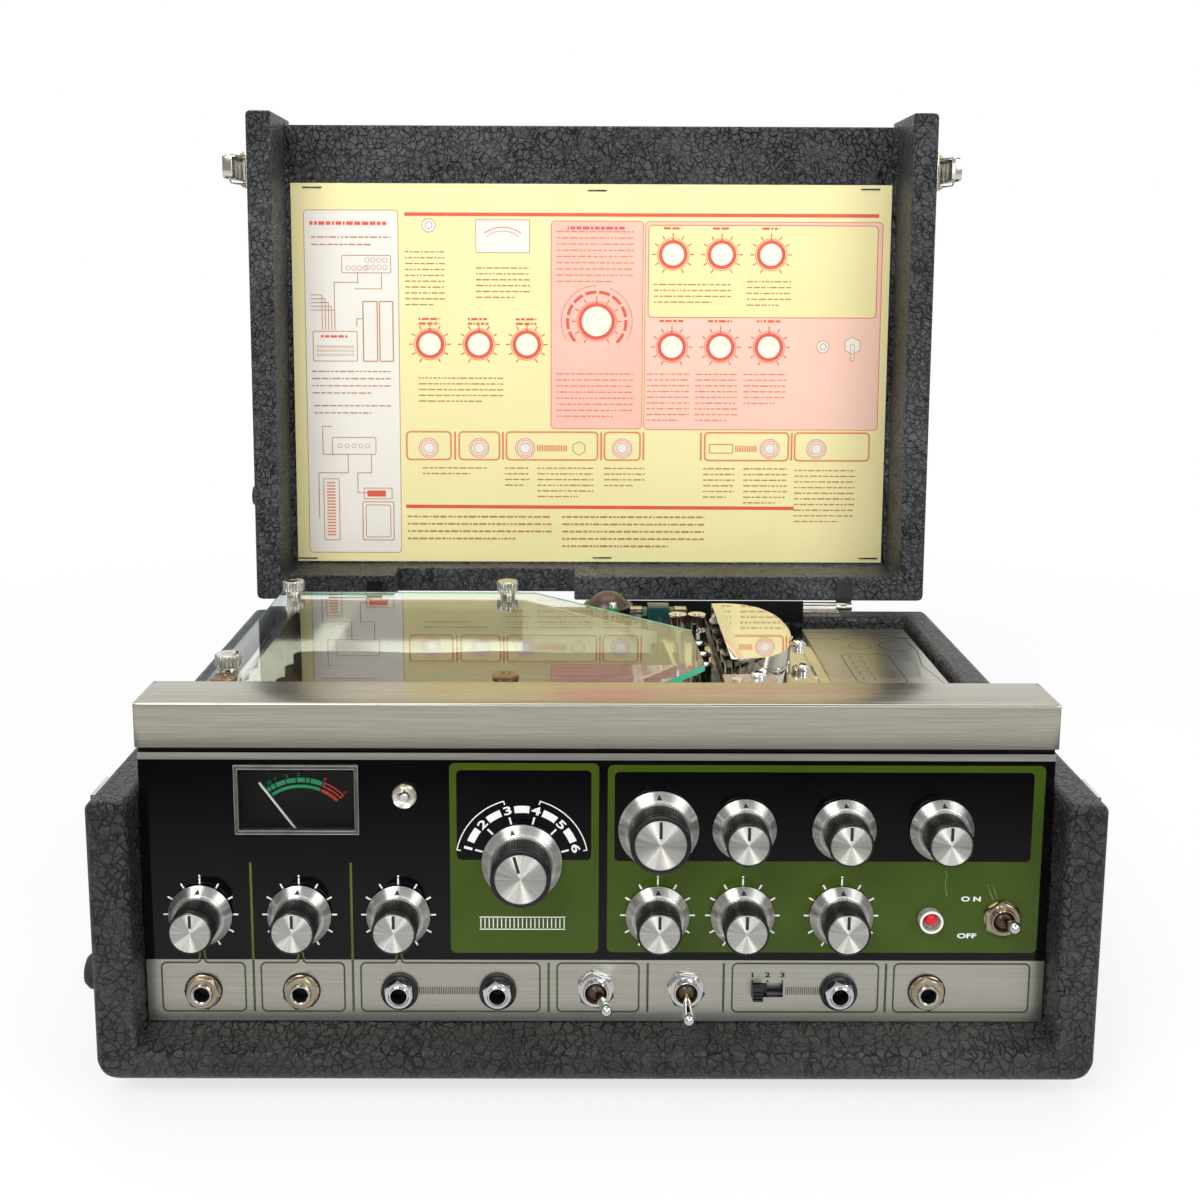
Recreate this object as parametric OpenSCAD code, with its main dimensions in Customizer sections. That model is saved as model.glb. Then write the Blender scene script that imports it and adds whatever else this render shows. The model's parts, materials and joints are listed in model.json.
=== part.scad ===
// Tape echo unit: a covered plywood tub with an open front, a lift-off lid,
// a control panel under an aluminium bar, and a tape transport on the deck.
// Millimetres. X runs to the right, Y to the back, Z up. Heights on the panel
// are measured from the underside of the tub.

/* [Case] */
// Outside width of the case
case_w = 415; // [405:1:460]
// Depth of the tub from front to back
case_d = 298; // [290:1:340]
// Height of the tub without its feet
tub_h = 123; // [121:1:140]
// Thickness of the tub's covered plywood walls
wall_t = 17; // [14:0.5:18]
// Thickness of the tub's floor
floor_t = 12; // [8:0.5:14]
// Radius of the tub's lower long edges
bottom_r = 12; // [6:0.5:14]
// Radius of the tub's rim edges
rim_r = 3; // [1:0.5:6]
// Height of the front lip at its outer edge
lip_h = 15; // [13:0.5:17]
// Height of the front lip where it meets the panel
lip_back_h = 19.7; // [18:0.1:20]
// Height of the rubber feet
foot_h = 8; // [5:0.5:15]
// Radius of the rubber feet
foot_r = 9; // [6:0.5:12]
// Distance of the feet's centres from the tub's sides and ends
foot_inset = 29; // [20:1:45]

/* [Lid] */
// Outside depth of the lid from its rim to its top
lid_h = 56; // [54:0.5:75]
// Thickness of the lid's side and rear walls
lid_wall_t = 15; // [10:0.5:17]
// Thickness of the lid's top panel
lid_top_t = 15.5; // [8:0.5:16]
// Radius of the lid's top edges
lid_r = 8; // [3:0.5:12]
// Set-back of the top panel from the front ends of the side walls
lid_setback = 4; // [0:0.5:12]
// Gap between the two rims when the lid is shut
rim_gap = 2; // [1.8:0.1:4]
// Angle to which the lid opens
lid_open = 91.4; // [60:0.1:110]
// Width of the cable notch in the lid's rear wall
notch_w = 112; // [40:1:150]
// Depth of the cable notch
notch_h = 23; // [10:0.5:30]
// Middle of the cable notch, left of the unit's middle
notch_x = -66; // [-100:1:-40]
// Margin between the instruction card and the lid's side walls
card_margin = 3; // [1.5:0.5:40]
// Length of the instruction card
card_l = 242; // [180:1:250]
// Thickness of the instruction card
card_t = 0.5; // [0.3:0.1:1]
// Distance of the card from the lid's inner rear wall
card_gap = 1; // [0:0.5:20]

/* [Lid fittings] */
// Radius of the hinge knuckles
hinge_r = 3.2; // [2.6:0.1:4]
// Radius of the hinge pins
hinge_pin_r = 1.5; // [1:0.1:1.8]
// Width of each hinge
hinge_w = 33; // [25:1:50]
// Distance of the hinges' middles from the middle of the unit
hinge_x = 146; // [90:1:160]
// Width of the latch plates along the case
latch_w = 26; // [18:1:34]
// Distance of the latches from the front of the case
latch_y = 34; // [22:1:60]
// Height of the latch pivots above the tub's rim
latch_rise = 19; // [16:0.5:24]
// Outward swing of the latches at rest
latch_swing = 13; // [8:1:20]
// Radius of the side feet
side_foot_r = 8; // [6:0.5:10]
// Height of the side feet
side_foot_h = 12.5; // [8:0.5:14]

/* [Panel and bar] */
// Set-back of the panel's face from the front of the tub
panel_y = 16; // [15:0.5:18]
// Thickness of the front panel
panel_t = 2; // [1.5:0.1:3]
// Height of the panel's bright upper edge
panel_top_h = 139; // [138:0.5:142]
// Width of the gap between the panel and the tub's side walls
panel_gap = 0.75; // [0.3:0.05:3]
// Front-to-back size of the aluminium bar
bar_d = 29; // [24:0.5:30]
// Height of the bar's face
bar_h = 18.9; // [14:0.1:19.5]
// Overhang of the bar in front of the panel
bar_over = 3.6; // [1:0.1:6]
// Height of the black groove under the bar
groove_h = 3.4; // [2:0.1:4.5]
// Wall of the bar
bar_t = 2.5; // [1.5:0.1:4]

/* [Controls] */
// Radius of a small knob's skirt
knob_skirt_r = 13.3; // [10:0.1:15]
// Radius of a small knob's grip
knob_grip_r = 9.3; // [7:0.1:9.8]
// Radius of a large knob's skirt
big_skirt_r = 16.8; // [14:0.1:17.5]
// Radius of a large knob's grip
big_grip_r = 12.6; // [10:0.1:13]
// Height of the skirts
skirt_h = 4.6; // [3:0.1:6]
// Height of the knobs
knob_h = 16; // [12:0.5:24]
// Running gap between a knob and the panel
knob_gap = 0.8; // [0.4:0.1:1.5]
// Radius of the control shafts
shaft_r = 3; // [2:0.1:4]
// Clearance of the knobs on the shafts
shaft_play = 0.06; // [0.02:0.01:0.1]
// Height of the lower row of knobs, as a share of the panel's upper edge
row_low = 0.489; // [0.475:0.001:0.503]
// Height of the upper row of knobs, as the same share
row_high = 0.765; // [0.75:0.001:0.776]
// Height of the mode selector, as the same share
selector_rise = 0.659; // [0.634:0.001:0.675]
// Height of the jack row, as the same share
jack_rise = 0.242; // [0.231:0.001:0.251]
// Radius of the jacks' bores
jack_r = 3.25; // [3.2:0.05:3.5]
// Depth of the jacks' bores
jack_depth = 24; // [18:0.5:30]
// Length of the toggle levers from pivot to tip
lever_l = 18.5; // [12:0.5:22]
// Tilt of the toggle levers to each side
lever_tilt = 15; // [8:1:17]
// Travel of the slide switch
slide_travel = 8.8; // [4:0.1:9]
// Width of the meter window
meter_w = 52; // [40:0.5:54]
// Height of the meter window
meter_h = 30.4; // [24:0.1:31]

/* [Transport] */
// Depth of the deck plate below the tub's rim
deck_drop = 3; // [2:0.5:6]
// Thickness of the deck plate
deck_t = 2; // [1:0.1:3]
// Height of the glass cover's top above the tub's rim
glass_rise = 28; // [22:0.5:30]
// Thickness of the glass cover
glass_t = 3; // [2:0.1:5]
// Width of the tape
tape_w = 6.35; // [3:0.01:6.5]
// Height of the tape's lower edge above the tub's rim
tape_rise = 10.6; // [8:0.1:12]
// Thickness of the tape
tape_t = 0.4; // [0.2:0.1:0.6]
// Number of loops that the tape lies in
tape_loops = 6; // [4:2:8]
// Radius of the capstan
capstan_r = 2.5; // [2:0.1:4]
// Radius of the capstan's flywheel
flywheel_r = 27; // [20:0.5:29]
// Radius of the motor pulley
pulley_r = 4; // [3:0.1:6]
// Radius of the pinch roller
pinch_r = 8; // [6:0.1:9]
// Gap between the pinch roller and the tape when it is lifted off
pinch_gap = 1.6; // [1.2:0.1:3]
// Height of the head cover's top above the tub's rim
cover_rise = 28; // [24:0.5:30]
// Width of the thin sheet that the head cover is made of
cover_t = 1; // [0.8:0.1:1.5]
// Number of tape heads
head_count = 5; // [3:1:5]
// Spacing of the tape heads
head_pitch = 19; // [18:0.5:20]

/* [Hidden] */

// Facets on round edges, small turned parts and large turned parts
edge_fn = 32;
turned_fn = 48;
wheel_fn = 72;

// Main levels and limits of the case
inner_w = case_w - 2 * wall_t;
rim_z = foot_h + tub_h;
deck_z = rim_z - deck_drop;
lid_z = rim_z + rim_gap;
floor_z = foot_h + floor_t;
hinge_y = case_d + hinge_r + 0.4;
hinge_z = rim_z + rim_gap / 2;
leaf_t = rim_gap / 2 - 0.1;

// Panel and bar. The controls stand in columns, just over nine across the panel
panel_w = inner_w - 2 * panel_gap;
column_w = inner_w / 9.18;
row_low_h = row_low * panel_top_h;
row_high_h = row_high * panel_top_h;
selector_h = selector_rise * panel_top_h;
jack_h = jack_rise * panel_top_h;
bar_y = panel_y - bar_over;
bar_low_h = panel_top_h + groove_h;
bar_top_z = foot_h + bar_low_h + bar_h;
deck_front_y = bar_y + bar_d - bar_t;
deck_back_y = case_d - wall_t - 12;
deck_w = inner_w - 8;
chassis_t = 1.6;
chassis_w = inner_w - 4;
chassis_top_z = deck_z - deck_t;
flange_w = 9;
panel_low_z = foot_h + lip_back_h;
pot_r = 11;
pot_l = 10;
pot_bushing_r = shaft_r + 1;
// Each knob: place across, height, large or small
knobs = [[-4 * column_w, row_low_h, false], [-3 * column_w, row_low_h, false],
    [-2 * column_w, row_low_h, false], [-0.75 * column_w, selector_h, true],
    [0.62 * column_w, row_high_h, true], [1.48 * column_w, row_high_h, false],
    [2.48 * column_w, row_high_h, false], [3.46 * column_w, row_high_h, false],
    [0.62 * column_w, row_low_h, false], [1.48 * column_w, row_low_h, false],
    [2.48 * column_w, row_low_h, false]];
power_x = 4.11 * column_w;
power_h = row_low_h - 0.8;
pilot_x = 3.38 * column_w;
pilot_h = row_low_h - 1.3;
peak_x = -1.92 * column_w;
peak_h = panel_top_h - 18.3;
lamp_r = 5;
pilot_l = 4;
hex_jack_x = [-4 * column_w, -3 * column_w, pilot_x];
collar_jack_x = [-2 * column_w, -column_w, 2.48 * column_w];
// Jacks: socket body, washer, nut and threaded end
jack_body_w = 16;
jack_body_h = 18;
jack_body_l = 22;
nut_r = 7.6;
nut_t = 2.6;
collar_r = 7.9;
collar_t = 1.6;
washer_t = 0.8;
thread_l = 3.6;
bushing_r = 5.6;
// Toggle switches: body, bushing, and the ball that the lever turns on
toggle_body_w = 13;
toggle_body_h = 20;
toggle_body_l = 18;
toggle_bushing_l = 5;
lever_bore_r = 4.2;
lever_ball_r = 4.14;
lever_hinge_out = 1;
lever_tip_r = 2.6;
toggle_input_x = 0;
toggle_output_x = 0.92 * column_w;
toggle_h = jack_h + 1.1;
// Front reach of the knobs and levers, and rear reach of the open lid, which centre the unit
lever_reach = lever_hinge_out + (lever_l - lever_tip_r) * cos(lever_tilt) + lever_tip_r;
front_reach = panel_y - max(knob_gap + knob_h, lever_reach);
rear_reach = hinge_y + (rim_gap / 2 + lid_h) * sin(lid_open) - hinge_y * cos(lid_open);
front_y = -(front_reach + rear_reach) / 2;
// Slide switch: slot, button, plate under the slot and track
slide_x = 1.75 * column_w;
slide_h = jack_h + 0.6;
slide_slot_h = 6.3;
slide_button_w = 4.4;
slide_button_l = 5;
slide_plate_l = slide_button_w + 5;
slide_plate_h = 8.4;
slide_plate_t = 2;
slide_track_l = slide_plate_l + slide_travel + 0.8;
slide_body_l = 9;
meter_x = -3 * column_w;
meter_mid_h = panel_top_h - 20.2;
needle_h = meter_mid_h - 19.2;
needle_l = 29;
needle_rest = 36;
meter_deep = 16;

// Gland in the rear wall, strap handle and latch catches
gland_x = 120;
gland_z = foot_h + 44;
gland_hole_r = 8;
gland_bore_r = 4.5;
gland_l = 12;
strap_t = 4;
strap_w = 24;
strap_l = 190;
strap_out = 9;
strap_z = foot_h + tub_h * 0.56;
cap_l = 34;
cap_h = 7;
cap_floor = 1.9;
catch_w = 20;
catch_drop = 6;
catch_out = 5.4;
catch_t = 3.4;
// Latches: pivot's height and distance out, pin, plate and the hook's upper face
latch_z = rim_z + latch_rise;
latch_x = case_w / 2 + 4.9;
latch_pin_r = 1.2;
latch_t = 1.6;
latch_tip_z = rim_z - catch_drop - catch_t;

// Glass cover, tank and the posts that hold the glass
glass_z = rim_z + glass_rise;
tank_z = glass_z - glass_t;
glass_left_x = 10.5 - deck_w / 2;
glass_back_y = deck_back_y - 37.5;
tank_left_x = glass_left_x + 14;
tank_back_y = glass_back_y - 13.5;
glass_outline = [[glass_left_x, 52], [glass_left_x, glass_back_y], [-32, glass_back_y],
    [50, 156.5], [52, 98], [31, 72], [31, 52]];
tank_outline = [[tank_left_x, 58], [tank_left_x, tank_back_y], [-38, tank_back_y],
    [36, 151], [39, 100], [22, 79], [22, 58]];
tank_t = 2;
post_r = 4;
stud_r = 2.5;
thumb_nut_r = 8.5;
thumb_nut_h = 5.8;
flange_t = 2.2;
disc_t = 1.6;
nut_places = [[glass_left_x + 8, glass_back_y - 5.5], [-47.5, glass_back_y - 5], [glass_left_x + 6, 88]];
disc_places = [[glass_left_x + 7.5, 74], [-41, 79]];

// Tape path
tape_z = rim_z + tape_rise;
tape_x = 63.3;
guide_r = 4;
turn_r = guide_r + 0.1 + tape_t / 2;
tape_back_y = glass_back_y - 6.2;
tape_front_y = 66;
tape_left_x = 44;
guide_places = [[tape_x - turn_r, tape_back_y - turn_r], [tape_left_x + turn_r, tape_back_y - turn_r],
    [tape_x - turn_r, tape_front_y + turn_r]];
row_right_x = 14;
row_left_x = tank_left_x + 16;
row_first_y = 96;
row_last_y = 146;
row_pitch = (row_last_y - row_first_y) / (tape_loops - 1);

// Capstan, its bearing, pinch roller and arm
capstan_y = 88;
capstan_x = tape_x + tape_t / 2 + capstan_r + 0.15;
bearing_r = 7;
bearing_play = 0.05;
pinch_x = tape_x - tape_t / 2 - pinch_gap - pinch_r;
arm_x = 46;
arm_y = 58.5;
arm_t = 3;
arm_z = deck_z + 5;
pin_r = 2;
// Flywheel, belt and motor
flywheel_z = rim_z - 35;
flywheel_t = 14;
motor_x = chassis_w / 2 - 38.5;
motor_y = 160;
motor_r = 21;
motor_l = 52;
motor_boss_r = 5;
motor_top_z = flywheel_z - 6;
motor_shaft_r = 1.5;
pulley_t = 12;
belt_w = 8;
belt_t = 1;
belt_play = 0.3;

// Heads on their block, and the cover over them
block_rise = 7.5;
cover_x = 65.8;
cover_y = 158.5;
cover_w = 35;
cover_l = 101;
head_x = tape_x + tape_t / 2 + 0.15;
head_w = 12;
head_depth = 16;
head_h = 14;
// Bridge that holds the capstan's upper end
bridge_rise = 22;
bridge_t = 2;
bridge_reach = 6;
bridge_post_x = capstan_x + 14;
bridge_post_w = 4;

// Raised rail and plate at the right of the deck
rail_x = 122;
rail_w = 3;
rail_h = 1.6;
plate_x0 = rail_x + 3.5;
plate_t = 1;

// Domed button, clear relay with its clips, and stop pin, behind the glass
button_x = 10;
button_y = deck_back_y - 15.5;
button_r = 9;
brim_rise = 14.6;
brim_r = 14.4;
brim_t = 1;
dome_r = 13;
dome_sink = 5.5;
relay_x = 38.5;
relay_y = deck_back_y - 28;
relay_w = 22;
relay_d = 13;
relay_rise = 12.4;
relay_h = 7.8;
relay_base_w = 15;
clip_w = 4.5;
clip_d = 10;
clip_rise = 17;
stop_x = 14;
stop_y = deck_back_y - 34.4;
stop_r = 2.2;
stop_rise = 21.4;

// Circuit board on its spacers, with cans and coils
base_z = floor_z + chassis_t;
board_w = 0.6 * chassis_w;
board_front_y = 62;
board_back_y = deck_back_y - 81;
board_t = 1.6;
spacer_h = 8;
spacer_r = 4;
board_z = base_z + spacer_h;
can_r = 6;
can_h = 18;
can_y = board_front_y + 28;
coil_w = 20;
coil_d = 10;
coil_h = 10;
coil_y = board_front_y + 73;

// Power transformer: feet, core and winding
core_x = 34.5 - chassis_w / 2;
core_y = deck_back_y - 61;
core_foot_w = 60;
core_foot_d = 56;
core_foot_t = 3;
core_w = 52;
core_d = 44;
core_h = 49;
winding_w = 32;
winding_d = 60;
winding_h = 31;

// Spring reverb tank
reverb_x = 7.5;
reverb_y = deck_back_y - 46.5;
reverb_l = 0.57 * chassis_w;
reverb_d = 45;
reverb_h = 30;
reverb_t = 2;
spring_r = 2.5;
spring_pitch = 17;

// ---------------------------------------------------------------- helpers

// Puts what is drawn from the front face of the tub into the unit's frame
module case_frame() {
    translate([0, front_y, 0]) children();
}

// Swings what is drawn on the shut lid to the lid's open place
module lid_frame() {
    case_frame()
        translate([0, hinge_y, hinge_z])
            rotate([-lid_open, 0, 0])
                translate([0, -hinge_y, -hinge_z])
                    children();
}

// Puts a part on the panel's face: its own Z points out of the panel
module on_panel(x, h) {
    case_frame()
        translate([x, panel_y, foot_h + h])
            rotate([90, 0, 0])
                children();
}

// Extrudes a profile in X and Z backwards from y0
module along_y(y0, length) {
    translate([0, y0 + length, 0])
        rotate([90, 0, 0])
            linear_extrude(length)
                children();
}

// Extrudes a profile in Y and Z across the unit, centred on x
module across(x, width) {
    translate([x - width / 2, 0, 0])
        rotate([90, 0, 90])
            linear_extrude(width)
                children();
}

module block(x0, x1, y0, y1, z0, z1) {
    translate([x0, y0, z0])
        cube([x1 - x0, y1 - y0, z1 - z0]);
}

// Block from z0 to z1, centred on the Z axis
module slab(w, d, z0, z1) {
    translate([-w / 2, -d / 2, z0])
        cube([w, d, z1 - z0]);
}

// Upright rectangle that stands on Y = 0, with its own radii below and above
module case_profile(w, h, r_low, r_top) {
    translate([-w / 2, r_low])
        square([w, h - r_low - r_top]);
    translate([-w / 2 + r_low, 0])
        square([w - 2 * r_low, h / 2]);
    translate([-w / 2 + r_top, h / 2])
        square([w - 2 * r_top, h / 2]);
    for (side = [-1, 1]) {
        translate([side * (w / 2 - r_low), r_low])
            circle(r_low, $fn = edge_fn);
        translate([side * (w / 2 - r_top), h - r_top])
            circle(r_top, $fn = edge_fn);
    }
}

// Centred rectangle with round corners
module round_rect(w, h, r) {
    square([w - 2 * r, h], center = true);
    square([w, h - 2 * r], center = true);
    for (sx = [-1, 1], sy = [-1, 1])
        translate([sx * (w / 2 - r), sy * (h / 2 - r)])
            circle(r, $fn = edge_fn);
}

module disc(r, z0, z1, fn = turned_fn) {
    translate([0, 0, z0])
        cylinder(r = r, h = z1 - z0, $fn = fn);
}

// Outline of a fluted grip
function fluted(r, flutes, depth) =
    [for (i = [0:2 * flutes - 1]) (r - (i % 2) * depth) * [cos(i * 180 / flutes), sin(i * 180 / flutes)]];

// ---------------------------------------------------------------- the tub

// Open-fronted tub: floor with a sloping front lip, two sides and a rear wall
module tub_shell() {
    lip_y = panel_y - 0.3;
    seat_y = panel_y + 4;
    color([0.07, 0.08, 0.09])
        case_frame()
            difference() {
                translate([0, 0, foot_h])
                    along_y(0, case_d)
                        case_profile(case_w, tub_h, bottom_r, rim_r);
                across(0, inner_w)
                    polygon([[-1, foot_h + lip_h], [0, foot_h + lip_h], [lip_y, foot_h + lip_back_h],
                        [seat_y, foot_h + lip_back_h], [seat_y, floor_z], [case_d - wall_t, floor_z],
                        [case_d - wall_t, rim_z + 1], [-1, rim_z + 1]]);
                translate([gland_x, case_d - wall_t - 1, gland_z])
                    rotate([-90, 0, 0])
                        cylinder(r = gland_hole_r, h = wall_t + 2, $fn = turned_fn);
            }
}

// A rubber foot that stands up from Z = 0 with its wide end below
module foot(r, h) {
    rotate_extrude($fn = turned_fn)
        polygon([[0, 0], [r, 0], [r, h * 0.35], [r * 0.86, h - 1], [r * 0.86 - 1, h], [0, h]]);
}

// Four feet under the tub and two on its left side, for standing on end
module rubber_feet() {
    color([0.05, 0.05, 0.05])
        case_frame() {
            for (x = [-1, 1] * (case_w / 2 - foot_inset), y = [foot_inset - 4, case_d - foot_inset])
                translate([x, y, foot_h])
                    rotate([180, 0, 0])
                        foot(foot_r, foot_h);
            for (y = [2 * side_foot_r, case_d - foot_inset])
                translate([-case_w / 2, y, foot_h + 46])
                    rotate([0, -90, 0])
                        foot(side_foot_r, side_foot_h);
        }
}

// Padded strap that bows out from the tub's right side, its ends in the caps
module strap_handle() {
    half = strap_l / 2 - 5;
    bow_r = (half * half + strap_out * strap_out) / (2 * strap_out);
    color([0.06, 0.06, 0.06])
        case_frame()
            translate([case_w / 2 + cap_floor + 0.3 + strap_out - bow_r, case_d / 2, strap_z])
                intersection() {
                    difference() {
                        disc(bow_r + strap_t, -strap_w / 2, strap_w / 2, 180);
                        disc(bow_r, -strap_w, strap_w, 180);
                    }
                    block(bow_r / 2, 2 * bow_r, -half, half, -strap_w, strap_w);
                }
}

// Nickel caps that hold the strap's two ends to the tub
module handle_caps() {
    color([0.75, 0.74, 0.7])
        case_frame()
            for (side = [-1, 1])
                translate([case_w / 2, case_d / 2 + side * strap_l / 2, strap_z])
                    rotate([0, 90, 0])
                        difference() {
                            linear_extrude(cap_h)
                                round_rect(strap_w + 8, cap_l, 5);
                            translate([0, -side * cap_l / 2, cap_floor + cap_h / 2])
                                cube([strap_w + 0.8, cap_l + 8, cap_h], center = true);
                        }
}

// Catch bars on the tub's sides that the latches hook under
module latch_catches() {
    color([0.78, 0.76, 0.7])
        case_frame()
            for (side = [-1, 1])
                mirror([side < 0 ? 1 : 0, 0, 0])
                    translate([case_w / 2, latch_y, 0]) {
                        block(0, 1.2, -latch_w / 2, latch_w / 2, rim_z - 24, rim_z - rim_r);
                        block(1.2, catch_out, -catch_w / 2, catch_w / 2,
                            rim_z - catch_drop - catch_t, rim_z - catch_drop);
                    }
}

// Fixed halves of the two lift-off hinges: leaf, long knuckle and pin
module hinge_leaves() {
    knuckle = hinge_w * 0.7;
    color([0.8, 0.79, 0.75])
        case_frame()
            for (x = [-1, 1] * hinge_x) {
                block(x - hinge_w / 2, x - hinge_w / 2 + knuckle, case_d - 12, hinge_y,
                    rim_z, rim_z + leaf_t);
                translate([x - hinge_w / 2, hinge_y, hinge_z])
                    rotate([0, 90, 0]) {
                        cylinder(r = hinge_r, h = knuckle, $fn = turned_fn);
                        cylinder(r = hinge_pin_r, h = hinge_w - 1, $fn = turned_fn);
                    }
            }
}

// Gland for the mains lead on the rear wall
module cord_gland() {
    color([0.05, 0.05, 0.05])
        case_frame()
            translate([gland_x, case_d, gland_z])
                rotate([-90, 0, 0])
                    difference() {
                        union() {
                            disc(gland_hole_r + 2, 0, 3);
                            disc(gland_hole_r - 1.6, 2, gland_l);
                            disc(gland_hole_r - 0.1, 2 - wall_t, 1);
                        }
                        disc(gland_bore_r, -wall_t, gland_l + 1);
                    }
}

// ---------------------------------------------------------------- chassis, panel and bar

// Folded steel pan: base, side walls that rise behind the tub's front lip, front
// flanges for the panel and top flanges for the deck
module chassis() {
    front_y = panel_y + panel_t;
    side_x = chassis_w / 2;
    color([0.62, 0.63, 0.64])
        case_frame() {
            block(-side_x, side_x, front_y + 3, deck_back_y, floor_z, base_z);
            for (side = [-1, 1])
                mirror([side < 0 ? 1 : 0, 0, 0]) {
                    block(side_x - chassis_t, side_x, front_y + 3, deck_back_y, floor_z, chassis_top_z);
                    block(side_x - chassis_t, side_x, front_y, front_y + 4, panel_low_z + 1, chassis_top_z);
                    block(side_x - flange_w, side_x, front_y, front_y + chassis_t,
                        panel_low_z + 1, chassis_top_z);
                    block(side_x - flange_w, side_x, deck_front_y, deck_back_y,
                        chassis_top_z - chassis_t, chassis_top_z);
                }
        }
}

// Front panel: printed face, bare lower strip and bright upper edge, in one sheet
module front_panel() {
    low_h = lip_back_h + 0.3;
    color([0.04, 0.04, 0.045])
        difference() {
            on_panel(0, 0)
                translate([0, 0, -panel_t])
                    linear_extrude(panel_t)
                        translate([-panel_w / 2, low_h])
                            square([panel_w, panel_top_h - low_h]);
            for (k = knobs)
                panel_hole(k[0], k[1], pot_bushing_r + 0.2);
            for (x = concat(hex_jack_x, collar_jack_x))
                panel_hole(x, jack_h, bushing_r - 0.6);
            panel_hole(power_x, power_h, bushing_r + 0.2);
            panel_hole(toggle_input_x, toggle_h, bushing_r + 0.2);
            panel_hole(toggle_output_x, toggle_h, bushing_r + 0.2);
            panel_hole(peak_x, peak_h, lamp_r - 0.8);
            panel_hole(pilot_x, pilot_h, lamp_r - 0.8);
            on_panel(slide_x, slide_h)
                cube([slide_button_w + slide_travel + 0.6, slide_slot_h, 3 * panel_t], center = true);
            on_panel(meter_x, meter_mid_h)
                cube([meter_w, meter_h, 3 * panel_t], center = true);
        }
    color([0.8, 0.8, 0.78])
        case_frame()
            block(-panel_w / 2, panel_w / 2, panel_y + panel_t, deck_front_y - 0.3,
                foot_h + panel_top_h - panel_t, foot_h + panel_top_h);
}

module panel_hole(x, h, r) {
    on_panel(x, h)
        disc(r, -2 * panel_t, panel_t);
}

// Brushed aluminium bar: a channel with closed ends that covers the panel's top
module top_bar() {
    low_z = foot_h + bar_low_h;
    end_x = panel_w / 2;
    color([0.78, 0.78, 0.76])
        case_frame() {
            difference() {
                across(0, panel_w)
                    bar_profile(0);
                across(0, panel_w - 2 * bar_t)
                    bar_profile(bar_t);
            }
            block(-end_x, end_x, deck_front_y, deck_front_y + bar_t, deck_z, low_z);
            for (x = [-1, 1] * panel_w * 0.36)
                block(x - 10, x + 10, panel_y + 6, deck_front_y - 4, foot_h + panel_top_h, bar_top_z - bar_t);
        }
}

// Section of the bar with its two upper edges slightly rounded
module bar_profile(inset) {
    r = 1.6;
    y0 = bar_y + inset;
    y1 = bar_y + bar_d - inset;
    z0 = foot_h + bar_low_h - (inset > 0 ? 1 : 0);
    z1 = bar_top_z - inset;
    translate([y0, z0])
        square([y1 - y0, z1 - z0 - r]);
    translate([y0 + r, z0])
        square([y1 - y0 - 2 * r, z1 - z0]);
    for (y = [y0 + r, y1 - r])
        translate([y, z1 - r])
            circle(r, $fn = edge_fn);
}

// ---------------------------------------------------------------- meter and lamps

// Meter body behind the panel with an open face and the needle's pin
module meter_case() {
    body_w = meter_w + 4;
    low = meter_mid_h + meter_h / 2 + 2 - needle_h + 7;
    top = meter_h / 2 + 2;
    color([0.05, 0.05, 0.06])
        on_panel(meter_x, meter_mid_h) {
            difference() {
                translate([-body_w / 2, top - low, -panel_t - meter_deep])
                    cube([body_w, low, meter_deep]);
                translate([-body_w / 2 + 1.5, top - low + 1.5, -panel_t - 9])
                    cube([body_w - 3, low - 3, 10]);
            }
            translate([0, needle_h - meter_mid_h, 0])
                disc(0.75, -panel_t - 10, -panel_t - 3.5, 24);
        }
}

// Clear front of the meter
module meter_window() {
    color([0.7, 0.75, 0.78, 0.35])
        on_panel(meter_x, meter_mid_h)
            difference() {
                translate([0, 0, -panel_t])
                    linear_extrude(panel_t + 1.4)
                        round_rect(meter_w - 0.4, meter_h - 0.4, 1);
                translate([-meter_w / 2 + 1.6, -meter_h / 2 + 1.6, -panel_t - 1])
                    cube([meter_w - 3.2, meter_h - 3.2, panel_t + 1.2]);
            }
}

// Needle with its hub on the meter's pin, resting at the left of the scale
module meter_needle() {
    color([0.9, 0.9, 0.88])
        on_panel(meter_x, needle_h)
            rotate([0, 0, needle_rest])
                difference() {
                    union() {
                        disc(2.4, -panel_t - 6, -panel_t - 4, 32);
                        translate([-0.35, 0, -panel_t - 5.4])
                            cube([0.7, needle_l, 0.7]);
                    }
                    disc(0.8, -panel_t - 7, -panel_t - 3, 24);
                }
}

// Chrome bezel with a clear lens
module peak_lamp() {
    color([0.85, 0.85, 0.86])
        on_panel(peak_x, peak_h)
            rotate_extrude($fn = turned_fn)
                polygon([[0, -14], [lamp_r - 1, -14], [lamp_r - 1, 0], [lamp_r + 0.6, 0],
                    [lamp_r + 0.4, 1.2], [lamp_r - 0.4, 1.8], [lamp_r - 0.6, 3],
                    [lamp_r - 1.6, 4.4], [lamp_r - 3, 5.2], [0, 5.4]]);
}

// Short clear tube with a white rim, and a red dome inside it
module pilot_lamp() {
    color([0.8, 0.2, 0.16])
        on_panel(pilot_x, pilot_h)
            rotate_extrude($fn = turned_fn)
                polygon([[0, -16], [lamp_r - 1, -16], [lamp_r - 1, 0], [lamp_r, 0], [lamp_r, pilot_l - 0.4],
                    [lamp_r - 0.4, pilot_l], [lamp_r - 1, pilot_l], [lamp_r - 1.2, 1.2], [2.7, 1.2],
                    [2.4, pilot_l - 1.6], [1.4, pilot_l - 0.8], [0, pilot_l - 0.5]]);
}

// ---------------------------------------------------------------- jacks and switches

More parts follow.
